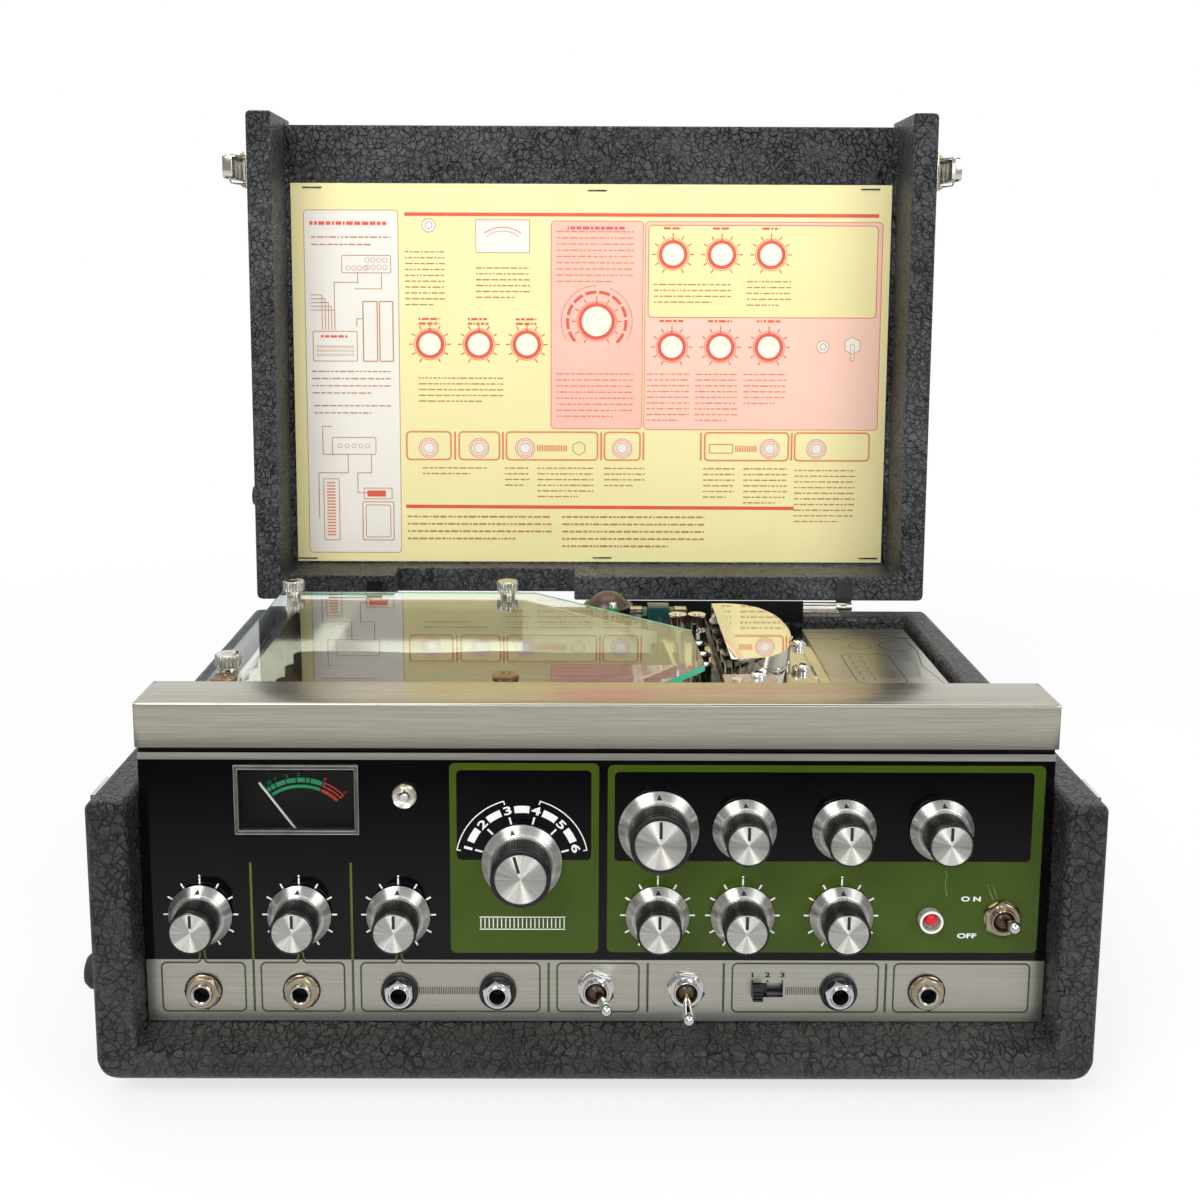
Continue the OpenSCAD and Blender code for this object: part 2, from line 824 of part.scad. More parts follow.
// Socket body behind the panel, threaded bushing, nut and washer
module jack(ring_r, ring_t, nut_size) {
    difference() {
        union() {
            slab(jack_body_w, jack_body_h, -panel_t - jack_body_l, -panel_t);
            disc(bushing_r - 0.7, -panel_t - 1, ring_t + thread_l);
            disc(ring_r, 0, ring_t);
            translate([0, 0, ring_t])
                rotate([0, 0, 15])
                    cylinder(r = nut_size, h = nut_t, $fn = 6);
        }
        disc(jack_r, ring_t + thread_l - jack_depth, ring_t + thread_l + 1);
    }
}

// Three jacks with plain washers and three with black collars
module jack_sockets() {
    color([0.76, 0.72, 0.62])
        for (x = hex_jack_x)
            on_panel(x, jack_h)
                jack(nut_r + 0.2, washer_t, nut_r);
    color([0.12, 0.12, 0.13])
        for (x = collar_jack_x)
            on_panel(x, jack_h)
                jack(collar_r, collar_t, nut_r - 0.9);
}

// Bushing, hex nut and body of a toggle switch, with the lever's socket
module toggle_body() {
    difference() {
        union() {
            slab(toggle_body_w, toggle_body_h, -panel_t - toggle_body_l, -panel_t);
            disc(bushing_r, -panel_t - 1, toggle_bushing_l);
            rotate([0, 0, 10])
                cylinder(r = nut_r + 0.5, h = nut_t, $fn = 6);
        }
        disc(lever_bore_r, -panel_t - 2, toggle_bushing_l + 1);
    }
}

module toggle_switches() {
    color([0.8, 0.76, 0.66]) {
        on_panel(power_x, power_h)
            toggle_body();
        on_panel(toggle_input_x, toggle_h)
            toggle_body();
        on_panel(toggle_output_x, toggle_h)
            toggle_body();
    }
}

// Bat lever that points out of the panel from its ball in the bushing
module lever() {
    translate([0, 0, lever_hinge_out])
        rotate_extrude($fn = turned_fn)
            polygon(concat(
                [[0, -2.6]],
                [for (a = [-38:19:38]) lever_ball_r * [cos(a), sin(a)]],
                [[1.7, 3.4], [1.8, lever_l * 0.38], [lever_tip_r, lever_l - lever_tip_r - 0.4]],
                [for (a = [30:30:60]) [0, lever_l - lever_tip_r] + lever_tip_r * [cos(a), sin(a)]],
                [[0, lever_l]]));
}

// A lever at rest, tipped over about its own pivot
module tipped(x, h, tilt) {
    on_panel(x, h)
        translate([0, 0, lever_hinge_out])
            rotate(tilt)
                translate([0, 0, -lever_hinge_out])
                    lever();
}

module lever_power() {
    color([0.85, 0.85, 0.84])
        tipped(power_x, power_h, [-lever_tilt, 0, 0]);
}

module lever_input() {
    color([0.85, 0.85, 0.84])
        tipped(toggle_input_x, toggle_h, [0, lever_tilt, 0]);
}

module lever_output() {
    color([0.85, 0.85, 0.84])
        tipped(toggle_output_x, toggle_h, [lever_tilt, 0, 0]);
}

// Frame of the slide switch behind the panel, with the slider's track
module slide_switch() {
    color([0.7, 0.7, 0.7])
        on_panel(slide_x, slide_h)
            difference() {
                slab(slide_track_l + 4, slide_plate_h + 3.6, -panel_t - slide_body_l, -panel_t);
                slab(slide_track_l, slide_plate_h + 0.4, -panel_t - slide_plate_t - 0.6, 0);
            }
}

// Slider with its square button, at the left end of its travel
module slide_button() {
    color([0.05, 0.05, 0.05])
        on_panel(slide_x - slide_travel / 2, slide_h) {
            slab(slide_plate_l, slide_plate_h, -panel_t - slide_plate_t - 0.3, -panel_t - 0.3);
            slab(slide_button_w, slide_slot_h - 0.6, -panel_t - 1, slide_button_l);
        }
}

// ---------------------------------------------------------------- knobs

// Control bodies behind the panel, with bushings and shafts
module control_pots() {
    shaft_l = knob_gap + knob_h - 4;
    color([0.6, 0.58, 0.5])
        for (k = knobs)
            on_panel(k[0], k[1]) {
                disc(pot_r, -panel_t - pot_l, -panel_t);
                disc(pot_bushing_r, -panel_t - 0.5, 0.4);
                disc(shaft_r, -panel_t - 0.5, shaft_l);
            }
}

// Knob with a bevelled skirt, a fluted grip and a turned cap, bored for its shaft
module knob(k) {
    skirt = k[2] ? big_skirt_r : knob_skirt_r;
    grip = k[2] ? big_grip_r : knob_grip_r;
    flutes = k[2] ? 44 : 36;
    top = knob_gap + knob_h;
    color([0.3, 0.3, 0.3])
        on_panel(k[0], k[1])
            difference() {
                union() {
                    rotate_extrude($fn = turned_fn)
                        polygon([[0, knob_gap], [skirt, knob_gap], [skirt, knob_gap + 1.2],
                            [grip + 0.9, knob_gap + skirt_h], [0, knob_gap + skirt_h]]);
                    translate([0, 0, knob_gap + skirt_h - 0.1])
                        linear_extrude(knob_h - skirt_h - 0.7)
                            polygon(fluted(grip, flutes, 0.4));
                    disc(grip - 0.9, top - 1, top);
                }
                disc(shaft_r + shaft_play, 0, knob_gap + knob_h - 3.5);
            }
}

module knob_mic_1() {
    knob(knobs[0]);
}

module knob_mic_2() {
    knob(knobs[1]);
}

module knob_instrument() {
    knob(knobs[2]);
}

module knob_mode() {
    knob(knobs[3]);
}

module knob_rate() {
    knob(knobs[4]);
}

module knob_intensity() {
    knob(knobs[5]);
}

module knob_bass() {
    knob(knobs[6]);
}

module knob_treble() {
    knob(knobs[7]);
}

module knob_reverb() {
    knob(knobs[8]);
}

module knob_echo() {
    knob(knobs[9]);
}

module knob_balance() {
    knob(knobs[10]);
}

// ---------------------------------------------------------------- deck and tape tank

// Polished deck plate with the capstan's bearing sleeve and a raised rail
module deck_plate() {
    color([0.72, 0.7, 0.66])
        case_frame() {
            difference() {
                union() {
                    block(-deck_w / 2, deck_w / 2, deck_front_y, deck_back_y, chassis_top_z, deck_z);
                    translate([capstan_x, capstan_y, 0])
                        disc(bearing_r, flywheel_z + flywheel_t + 1.5, deck_z + 4);
                }
                translate([capstan_x, capstan_y, 0])
                    disc(capstan_r + bearing_play, flywheel_z, deck_z + 5);
            }
            block(rail_x - rail_w, rail_x, deck_front_y + bar_t + 4, deck_back_y, deck_z, deck_z + rail_h);
        }
}

// Open-topped tank that the tape runs loose in, under the glass
module tape_tank() {
    slot_w = 8;
    color([0.1, 0.1, 0.1])
        case_frame()
            difference() {
                translate([0, 0, deck_z])
                    linear_extrude(tank_z - deck_z)
                        polygon(tank_outline);
                translate([0, 0, deck_z + tank_t])
                    linear_extrude(tank_z)
                        offset(delta = -tank_t)
                            polygon(tank_outline);
                block(0, 60, tape_front_y - slot_w / 2, tape_front_y + slot_w / 2, tape_z - 2, tank_z + 1);
                block(20, 60, row_last_y - slot_w / 2, row_last_y + slot_w, tape_z - 2, tank_z + 1);
            }
}

// Glass over the tank, with holes for the posts
module glass_cover() {
    color([0.7, 0.9, 0.82, 0.35])
        case_frame()
            difference() {
                translate([0, 0, tank_z])
                    linear_extrude(glass_t)
                        polygon(glass_outline);
                for (p = concat(nut_places, disc_places))
                    translate([p[0], p[1], tank_z - 1])
                        cylinder(r = stud_r + 0.4, h = glass_t + 2, $fn = turned_fn);
            }
}

// Fluted nuts with their posts, and two flat caps, that hold the glass down
module thumb_nuts() {
    color([0.72, 0.68, 0.6])
        case_frame() {
            for (p = nut_places)
                translate([p[0], p[1], 0]) {
                    disc(post_r, deck_z, tank_z);
                    disc(stud_r, tank_z - 1, glass_z + 3);
                    disc(stud_r + 2.1, glass_z, glass_z + flange_t);
                    translate([0, 0, glass_z + flange_t])
                        linear_extrude(thumb_nut_h)
                            polygon(fluted(thumb_nut_r, 28, 0.5));
                }
            for (p = disc_places)
                translate([p[0], p[1], 0]) {
                    disc(post_r, deck_z + (p[0] > tank_outline[0][0] ? tank_t : 0), tank_z);
                    disc(stud_r, tank_z - 1, glass_z + disc_t / 2);
                    disc(thumb_nut_r, glass_z, glass_z + disc_t);
                }
        }
}

// Points on an arc, from one angle to another, both ends included
function arc(c, r, a0, a1) =
    [for (a = [0:1 / 6:1]) c + r * [cos(a0 + (a1 - a0) * a), sin(a0 + (a1 - a0) * a)]];

// Middle line of the tape: round the rear guides, down past the heads and the
// capstan, round the front guide into the tank, to and fro in rows, and back
function tape_line() = concat(
    arc(guide_places[0], turn_r, 90, 0),
    arc(guide_places[2], turn_r, 0, -90),
    arc([row_right_x, tape_front_y + turn_r], turn_r, -90, -180),
    arc([row_right_x - 2 * turn_r, row_first_y - turn_r], turn_r, 0, 90),
    [for (r = [0:tape_loops - 1]) each tape_row(r)],
    arc([tape_left_x - turn_r, row_last_y + turn_r], turn_r, -90, 0),
    arc(guide_places[1], turn_r, 180, 90));

// One row of loose tape with its half turn into the next row
function tape_row(r) =
    let (y = row_first_y + r * row_pitch, left = r % 2 == 0, last = r == tape_loops - 1,
        x0 = left ? row_right_x : row_left_x, x1 = left ? row_left_x : row_right_x)
    concat(
        [for (i = [1:11]) [x0 + (x1 - x0) * i / 12, y + 2 * sin(i * 60) * sin(i * 15)]],
        last ? [] : arc([x1, y + row_pitch / 2], row_pitch / 2, -90, left ? -270 : 90));

// Loose loop of tape, standing on edge
module tape_loop() {
    line = tape_line();
    n = len(line);
    color([0.35, 0.2, 0.12])
        case_frame()
            translate([0, 0, tape_z])
                linear_extrude(tape_w)
                    difference() {
                        polygon([for (i = [0:n - 1]) line[i] + tape_side(line, i)]);
                        polygon([for (i = [0:n - 1]) line[i] - tape_side(line, i)]);
                    }
}

// Half the tape's thickness, square to its line at a point
function tape_side(line, i) =
    let (n = len(line), d = line[(i + 1) % n] - line[(i + n - 1) % n])
    [-d[1], d[0]] / norm(d) * tape_t / 2;

// Turned guides with flanges on thin posts, and the pinch arm's pivot post
module tape_guides() {
    color([0.8, 0.8, 0.8])
        case_frame() {
            translate([arm_x, arm_y, 0]) {
                disc(4.5, deck_z, arm_z - 0.1);
                disc(pin_r, deck_z, arm_z + arm_t + 1.2);
            }
            for (p = guide_places)
                translate([p[0], p[1], 0]) {
                    disc(pin_r, deck_z, tape_z + tape_w + 2);
                    disc(guide_r, tape_z - 0.4, tape_z + tape_w + 0.4);
                    disc(guide_r + 1, tape_z - 1.6, tape_z - 0.4);
                    disc(guide_r + 1, tape_z + tape_w + 0.4, tape_z + tape_w + 1.6);
                }
        }
}

// ---------------------------------------------------------------- heads

// Outline of the head cover: straight along the tape, bowed on the far side
function cover_outline(inset) = concat(
    [for (a = [-90:10:90])
        [cover_x + (cover_w - inset) * pow(cos(a), 0.62),
            cover_y + (cover_l / 2 - inset) * sin(a)]]);

// Base that carries the heads, with the bridge over the capstan
module head_block() {
    bridge_z = rim_z + bridge_rise;
    post_x = bridge_post_x + bridge_post_w;
    color([0.5, 0.5, 0.52])
        case_frame()
            difference() {
                union() {
                    translate([0, 0, deck_z])
                        linear_extrude(block_rise + deck_drop)
                            polygon(cover_outline(cover_t + 0.5));
                    block(capstan_x - bridge_reach, post_x, capstan_y - 6, capstan_y + 8,
                        bridge_z, bridge_z + bridge_t);
                    block(bridge_post_x - 2, post_x, capstan_y - 6, capstan_y + 8, deck_z, bridge_z + 1);
                }
                translate([capstan_x, capstan_y, 0])
                    disc(capstan_r + bearing_play, bridge_z - 1, bridge_z + bridge_t + 1);
            }
}

// Erase, record and playback heads in a row, each with a rounded face
module tape_heads() {
    head_z = rim_z + block_rise;
    color([0.7, 0.7, 0.72])
        case_frame()
            for (i = [0:head_count - 1])
                translate([head_x, cover_y + (i - (head_count - 1) / 2) * head_pitch, head_z])
                    linear_extrude(head_h)
                        intersection() {
                            translate([0, -head_w / 2])
                                square([head_depth, head_w]);
                            translate([head_w, 0])
                                circle(head_w, $fn = turned_fn);
                        }
}

// Polished cover over the heads, open towards the tape
module head_cover() {
    top_z = rim_z + cover_rise;
    color([0.85, 0.85, 0.82])
        case_frame()
            difference() {
                translate([0, 0, deck_z])
                    linear_extrude(top_z - deck_z)
                        polygon(cover_outline(0));
                translate([0, 0, deck_z - 1])
                    linear_extrude(top_z - deck_z + 1 - cover_t)
                        polygon(concat([[cover_x - 1, cover_y + cover_l / 2 - cover_t]],
                            [for (p = [cover_outline(cover_t)]) for (i = [len(p) - 1:-1:0]) p[i]],
                            [[cover_x - 1, cover_y - cover_l / 2 + cover_t]]));
            }
}

// ---------------------------------------------------------------- drive

// Swinging arm on its pivot post's bushing, with the roller's pin
module pinch_arm() {
    color([0.66, 0.66, 0.66])
        case_frame()
            difference() {
                union() {
                    translate([0, 0, arm_z])
                        linear_extrude(arm_t)
                            polygon([[arm_x - 4, arm_y], [arm_x + 4, arm_y],
                                [pinch_x + 3.5, capstan_y], [pinch_x - 3.5, capstan_y]]);
                    translate([arm_x, arm_y, 0])
                        disc(4.5, arm_z, arm_z + arm_t);
                    translate([pinch_x, capstan_y, 0]) {
                        disc(4, arm_z, arm_z + arm_t);
                        disc(pin_r, arm_z, tape_z + tape_w + 3);
                    }
                }
                translate([arm_x, arm_y, 0])
                    disc(pin_r + bearing_play, arm_z - 1, arm_z + arm_t + 1);
            }
}

// Rubber roller that presses the tape to the capstan
module pinch_roller() {
    color([0.08, 0.08, 0.08])
        case_frame()
            translate([pinch_x, capstan_y, 0])
                difference() {
                    disc(pinch_r, tape_z - 1.5, tape_z + tape_w + 1.5);
                    disc(pin_r + bearing_play, tape_z - 3, tape_z + tape_w + 3);
                }
}

// Capstan shaft with its flywheel under the deck
module capstan() {
    color([0.8, 0.8, 0.82])
        case_frame()
            translate([capstan_x, capstan_y, 0]) {
                disc(capstan_r, flywheel_z - 4, rim_z + bridge_rise + bridge_t + 0.6);
                disc(flywheel_r, flywheel_z, flywheel_z + flywheel_t, wheel_fn);
            }
}

// Motor on a pedestal that stands on the chassis
module drive_motor() {
    color([0.3, 0.3, 0.32])
        case_frame()
            translate([motor_x, motor_y, 0])
                difference() {
                    union() {
                        disc(motor_r * 0.7, base_z, motor_top_z - motor_l + 2);
                        disc(motor_r, motor_top_z - motor_l, motor_top_z);
                        disc(motor_boss_r, motor_top_z - 1, motor_top_z + 2);
                    }
                    disc(motor_shaft_r + bearing_play, motor_top_z - 12, motor_top_z + 3);
                }
}

// Motor shaft with its belt pulley
module motor_pulley() {
    z0 = flywheel_z + flywheel_t / 2 - pulley_t / 2;
    color([0.7, 0.6, 0.35])
        case_frame()
            translate([motor_x, motor_y, 0]) {
                disc(motor_shaft_r, motor_top_z - 11, z0 + 1);
                disc(pulley_r, z0, z0 + pulley_t);
                disc(pulley_r + 2, z0, z0 + 1.2);
                disc(pulley_r + 2, z0 + pulley_t - 1.2, z0 + pulley_t);
            }
}

// Flat belt round the flywheel and the pulley
module drive_belt() {
    color([0.08, 0.08, 0.08])
        case_frame()
            translate([0, 0, flywheel_z + flywheel_t / 2 - belt_w / 2])
                linear_extrude(belt_w)
                    difference() {
                        belt_loop(belt_play + belt_t);
                        belt_loop(belt_play);
                    }
}

module belt_loop(out) {
    hull() {
        translate([capstan_x, capstan_y])
            circle(flywheel_r + out, $fn = wheel_fn);
        translate([motor_x, motor_y])
            circle(pulley_r + out, $fn = turned_fn);
    }
}

// ---------------------------------------------------------------- deck fittings

// Rubber-domed button, clear relay in its clips, and a stop pin behind the glass
module deck_fittings() {
    brim_z = rim_z + brim_rise;
    relay_z = rim_z + relay_rise;
    color([0.25, 0.2, 0.16])
        case_frame()
            translate([button_x, button_y, 0]) {
                disc(button_r, deck_z, brim_z);
                disc(brim_r, brim_z, brim_z + brim_t);
                translate([0, 0, brim_z + brim_t])
                    rotate_extrude($fn = turned_fn)
                        intersection() {
                            translate([0, -dome_sink])
                                circle(dome_r, $fn = turned_fn);
                            square(2 * dome_r);
                        }
            }
    color([0.35, 0.5, 0.55])
        case_frame()
            translate([relay_x, relay_y, 0]) {
                slab(relay_base_w, clip_d, deck_z, relay_z);
                slab(relay_w, relay_d, relay_z, relay_z + relay_h);
            }
    color([0.8, 0.8, 0.8])
        case_frame() {
            translate([stop_x, stop_y, 0])
                disc(stop_r, deck_z, rim_z + stop_rise);
            for (side = [-1, 1])
                translate([relay_x + side * (relay_w / 2 + clip_w / 2 + 0.5), relay_y, 0])
                    slab(clip_w, clip_d, deck_z, rim_z + clip_rise);
        }
}

// Thin plate at the right of the deck
module diagram_plate() {
    color([0.75, 0.75, 0.72])
        case_frame()
            block(plate_x0, deck_w / 2 - 1, deck_front_y + bar_t + 4, deck_back_y - 7,
                deck_z, deck_z + plate_t);
}

// ---------------------------------------------------------------- inside the chassis

// Printed board on four spacers, with its larger parts
module circuit_board() {
    top_z = board_z + board_t;
    color([0.2, 0.4, 0.2])
        case_frame() {
            block(-board_w / 2, board_w / 2, board_front_y, board_back_y, board_z, top_z);
            for (x = [-1, 1] * (board_w / 2 - 2 * spacer_r))
                for (y = [board_front_y + 2 * spacer_r, board_back_y - 2 * spacer_r])
                    translate([x, y, 0])
                        disc(spacer_r, base_z, board_z);
            for (i = [-3:2])
                translate([i * board_w / 7.5, can_y, 0])
                    disc(can_r * (1 + abs(i % 2) / 3), top_z - 0.1, top_z + can_h * (1 + abs(i) / 6));
            for (i = [-2:2])
                translate([i * board_w / 6, coil_y, 0])
                    slab(coil_w, coil_d, top_z - 0.1, top_z + coil_h);
        }
}

// Laminated core with its winding and feet
module power_transformer() {
    core_z = base_z + core_foot_t;
    color([0.35, 0.33, 0.3])
        case_frame()
            translate([core_x, core_y, 0]) {
                slab(core_foot_w, core_foot_d, base_z, core_z);
                slab(core_w, core_d, core_z, core_z + core_h);
                translate([0, 0, core_z + (core_h - winding_h) / 2])
                    slab(winding_w, winding_d, 0, winding_h);
            }
}

// Spring reverb tank: an open channel with two long springs' tubes
module reverb_tank() {
    color([0.6, 0.6, 0.6])
        case_frame()
            translate([reverb_x, reverb_y, base_z]) {
                difference() {
                    slab(reverb_l, reverb_d, 0, reverb_h);
                    slab(reverb_l - 6 * reverb_t, reverb_d - 2 * reverb_t, reverb_t, reverb_h + 1);
                }
                for (side = [-1, 1])
                    translate([-reverb_l / 2 + reverb_t, side * spring_pitch / 2, reverb_h / 2])
                        rotate([0, 90, 0])
                            cylinder(r = spring_r, h = reverb_l - 2 * reverb_t, $fn = turned_fn);
            }
}

// ---------------------------------------------------------------- lid

// Lid without a front wall, its top set back between the side walls' ends
module lid_shell() {
    cavity_w = case_w - 2 * lid_wall_t;
    top_z = lid_z + lid_h;
    inner_z = top_z - lid_top_t;
    color([0.07, 0.08, 0.09])
        lid_frame()
            difference() {
                translate([0, 0, lid_z])
                    along_y(0, case_d)
                        case_profile(case_w, lid_h, rim_r, lid_r);
                across(0, cavity_w)
                    polygon([[-1, lid_z - 1], [case_d - lid_wall_t, lid_z - 1],
                        [case_d - lid_wall_t, inner_z], [lid_setback, inner_z],
                        [lid_setback, top_z + 1], [-1, top_z + 1]]);
                block(notch_x - notch_w / 2, notch_x + notch_w / 2, case_d - lid_wall_t - 1, case_d + 1,
                    lid_z - 1, lid_z + notch_h);
            }
}

// Card with the instructions, under the lid's top
module instruction_card() {
    card_z = lid_z + lid_h - lid_top_t;
    back = case_d - lid_wall_t - card_gap;
    card_w = case_w - 2 * (lid_wall_t + card_margin);
    color([0.93, 0.89, 0.62])
        lid_frame()
            block(-card_w / 2, card_w / 2, back - card_l, back, card_z - card_t, card_z);
}

// Foot on the lid's left side, in line with those on the tub
module lid_feet() {
    color([0.05, 0.05, 0.05])
        lid_frame()
            translate([-case_w / 2, case_d - 61, lid_z + lid_h / 2])
                rotate([0, -90, 0])
                    foot(side_foot_r, side_foot_h);
}

// Lid's halves of the hinges, and the plates that carry the latches
module lid_hinges() {
    knuckle = hinge_w * 0.3 - 0.4;
    color([0.8, 0.79, 0.75])
        lid_frame() {
            for (x = [-1, 1] * hinge_x)
                difference() {
                    union() {
                        block(x + hinge_w / 2 - knuckle, x + hinge_w / 2, case_d - 12, hinge_y,
                            lid_z - leaf_t, lid_z);
                        translate([x + hinge_w / 2 - knuckle, hinge_y, hinge_z])
                            rotate([0, 90, 0])
                                cylinder(r = hinge_r, h = knuckle, $fn = turned_fn);
                    }
                    translate([x - hinge_w / 2, hinge_y, hinge_z])
                        rotate([0, 90, 0])
                            cylinder(r = hinge_pin_r + bearing_play, h = 2 * hinge_w, $fn = turned_fn);
                }
            for (side = [-1, 1])
                mirror([side < 0 ? 1 : 0, 0, 0])
                    latch_plate();
        }
}

// Plate on the lid's side with two ears and the latch's pin
module latch_plate() {
    ear = 3;
    block(case_w / 2, case_w / 2 + 1.4, latch_y - latch_w / 2, latch_y + latch_w / 2,
        lid_z + rim_r, latch_z + 10);
    for (y = [latch_y - latch_w / 2, latch_y + latch_w / 2 - ear])
        block(case_w / 2 + 1, latch_x + 3, y, y + ear, latch_z - 4, latch_z + 4);
    translate([latch_x, latch_y - latch_w / 2 + 1, latch_z])
        rotate([-90, 0, 0])
            cylinder(r = latch_pin_r, h = latch_w - 2, $fn = turned_fn);
}

// Latch lever: hub on the pin, plate down past the rims, hook under the catch
module latch() {
    half = latch_w / 2 - 3.4;
    hook = case_w / 2 + catch_out;
    difference() {
        union() {
            translate([latch_x, latch_y - half, latch_z])
                rotate([-90, 0, 0])
                    cylinder(r = 2.6, h = 2 * half, $fn = turned_fn);
            block(latch_x + 2.6 - latch_t, latch_x + 2.6, latch_y - half, latch_y + half,
                latch_tip_z - 2.2, latch_z);
            block(hook - 2.6, latch_x + 2.6, latch_y - half, latch_y + half,
                latch_tip_z - 2.2, latch_tip_z - 0.5);
            block(latch_x + 1, latch_x + 5, latch_y - half, latch_y + half, latch_z + 1.6, latch_z + 3.2);
        }
        translate([latch_x, latch_y - latch_w, latch_z])
            rotate([-90, 0, 0])
                cylinder(r = latch_pin_r + bearing_play, h = 2 * latch_w, $fn = turned_fn);
    }
}

// The latch swung out about its pin, as it hangs when undone
module hanging_latch() {
    translate([latch_x, 0, latch_z])
        rotate([0, -latch_swing, 0])
            translate([-latch_x, 0, -latch_z])
                latch();
}

module latch_right() {
    color([0.8, 0.79, 0.75])
        lid_frame()
            hanging_latch();
}

module latch_left() {
    color([0.8, 0.79, 0.75])
        lid_frame()
            mirror([1, 0, 0])
                hanging_latch();
}

tub_shell();
rubber_feet();
strap_handle();
handle_caps();
latch_catches();
hinge_leaves();
cord_gland();
chassis();
front_panel();
top_bar();
meter_case();
meter_window();
meter_needle();
peak_lamp();
pilot_lamp();
jack_sockets();
toggle_switches();
lever_power();
lever_input();
lever_output();
slide_switch();
slide_button();
control_pots();
knob_mic_1();
knob_mic_2();
knob_instrument();
knob_mode();
knob_rate();
knob_intensity();
knob_bass();
knob_treble();
knob_reverb();
knob_echo();
knob_balance();
deck_plate();
tape_tank();
glass_cover();
thumb_nuts();
tape_loop();
head_block();
tape_heads();
head_cover();
tape_guides();
pinch_arm();
pinch_roller();
capstan();
drive_motor();
motor_pulley();
drive_belt();
deck_fittings();
diagram_plate();
circuit_board();
power_transformer();
reverb_tank();
lid_shell();
instruction_card();
lid_feet();
lid_hinges();
latch_left();
latch_right();
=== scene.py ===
import json
import random
from math import asin, atan2, copysign, cos, pi, radians, sin

import bmesh
import bpy
from mathutils import Matrix, Vector


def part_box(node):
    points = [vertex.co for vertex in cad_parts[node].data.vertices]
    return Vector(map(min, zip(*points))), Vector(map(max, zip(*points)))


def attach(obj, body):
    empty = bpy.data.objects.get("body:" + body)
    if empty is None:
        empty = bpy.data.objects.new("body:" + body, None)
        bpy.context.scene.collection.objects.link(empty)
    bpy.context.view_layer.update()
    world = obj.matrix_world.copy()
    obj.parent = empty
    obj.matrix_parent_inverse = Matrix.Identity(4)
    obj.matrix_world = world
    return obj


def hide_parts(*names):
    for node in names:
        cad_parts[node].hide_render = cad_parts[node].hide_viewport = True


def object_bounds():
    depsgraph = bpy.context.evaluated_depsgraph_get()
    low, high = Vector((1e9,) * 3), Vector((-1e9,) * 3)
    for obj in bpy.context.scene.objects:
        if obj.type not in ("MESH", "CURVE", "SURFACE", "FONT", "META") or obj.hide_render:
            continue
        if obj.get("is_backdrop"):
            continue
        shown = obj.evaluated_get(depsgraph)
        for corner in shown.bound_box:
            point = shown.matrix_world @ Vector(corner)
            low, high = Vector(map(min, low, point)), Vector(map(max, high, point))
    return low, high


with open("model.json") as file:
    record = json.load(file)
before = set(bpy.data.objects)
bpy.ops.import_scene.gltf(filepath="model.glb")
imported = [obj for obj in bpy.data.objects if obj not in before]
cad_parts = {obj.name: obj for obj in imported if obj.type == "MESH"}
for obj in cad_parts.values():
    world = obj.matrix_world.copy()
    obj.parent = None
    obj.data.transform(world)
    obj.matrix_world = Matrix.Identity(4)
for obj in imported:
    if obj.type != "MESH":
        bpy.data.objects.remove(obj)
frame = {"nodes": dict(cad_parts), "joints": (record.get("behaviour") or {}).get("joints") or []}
cad_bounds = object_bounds()

MM = 0.001
TAU = 2 * pi

# ---------------------------------------------------------------- places, from the frame
# Millimetres: X across, Y back from the tub's front, Z up from the table.
# Heights on the panel are measured from the underside of the tub.

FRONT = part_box("tub_shell")[0].y


def mm_box(node):
    """Lowest and highest corner of a CAD node, in millimetres, Y from the tub's front."""
    return [Vector((c.x, c.y - FRONT, c.z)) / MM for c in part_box(node)]


def move(x, y, z=0):
    return Matrix.Translation((x, y, z))


def spin(degrees, axis):
    return Matrix.Rotation(radians(degrees), 4, axis)


def mirrored(side):
    """Swaps left and right where side is -1."""
    return Matrix.Scale(side, 4, (1, 0, 0))


def heading(degrees):
    """Flat direction, clockwise from straight up."""
    return Vector((sin(radians(degrees)), cos(radians(degrees))))


TUB_LO, TUB_HI = mm_box("tub_shell")
BAR_LO, BAR_HI = mm_box("top_bar")
DECK_Z = mm_box("deck_plate")[1].z
FOOT_H, RIM_Z = TUB_LO.z, TUB_HI.z
CASE_W, CASE_D = TUB_HI.x - TUB_LO.x, TUB_HI.y
PANEL_Y = mm_box("front_panel")[0].y
JOINT = {j["name"]: j for j in frame["joints"]}


def joint_place(name):
    x, y, z = JOINT[name]["pos_m"]
    return Vector((x, y - FRONT, z)) / MM


HINGE = joint_place("lid_hinge")
LID_OPEN = radians(JOINT["lid_hinge"]["range_deg"][1])

CASE = move(0, FRONT) @ Matrix.Scale(MM, 4)
LID = CASE @ move(*HINGE) @ Matrix.Rotation(-LID_OPEN, 4, "X") @ move(*-HINGE)


def on_panel(x, h, out=0):
    """Frame on the panel's face: local X to the right, Y up, Z out of the panel."""
    return CASE @ move(x, PANEL_Y - out, FOOT_H + h) @ spin(90, "X")


# ---------------------------------------------------------------- materials


def nodes_of(name):
    m = bpy.data.materials.new(name)
    m.use_nodes = True
    return m, m.node_tree, m.node_tree.nodes["Principled BSDF"]


def link(tree, a, b):
    tree.links.new(a, b)


def new_node(tree, kind, vec=None, **values):
    """A shader node. Capitalised values are its inputs, the others its settings."""
    n = tree.nodes.new("ShaderNode" + kind)
    for key, value in values.items():
        if key[0].isupper():
            n.inputs[key.replace("_", " ")].default_value = value
        else:
            setattr(n, key, value)
    if vec is not None:
        link(tree, vec, n.inputs["Vector"])
    return n


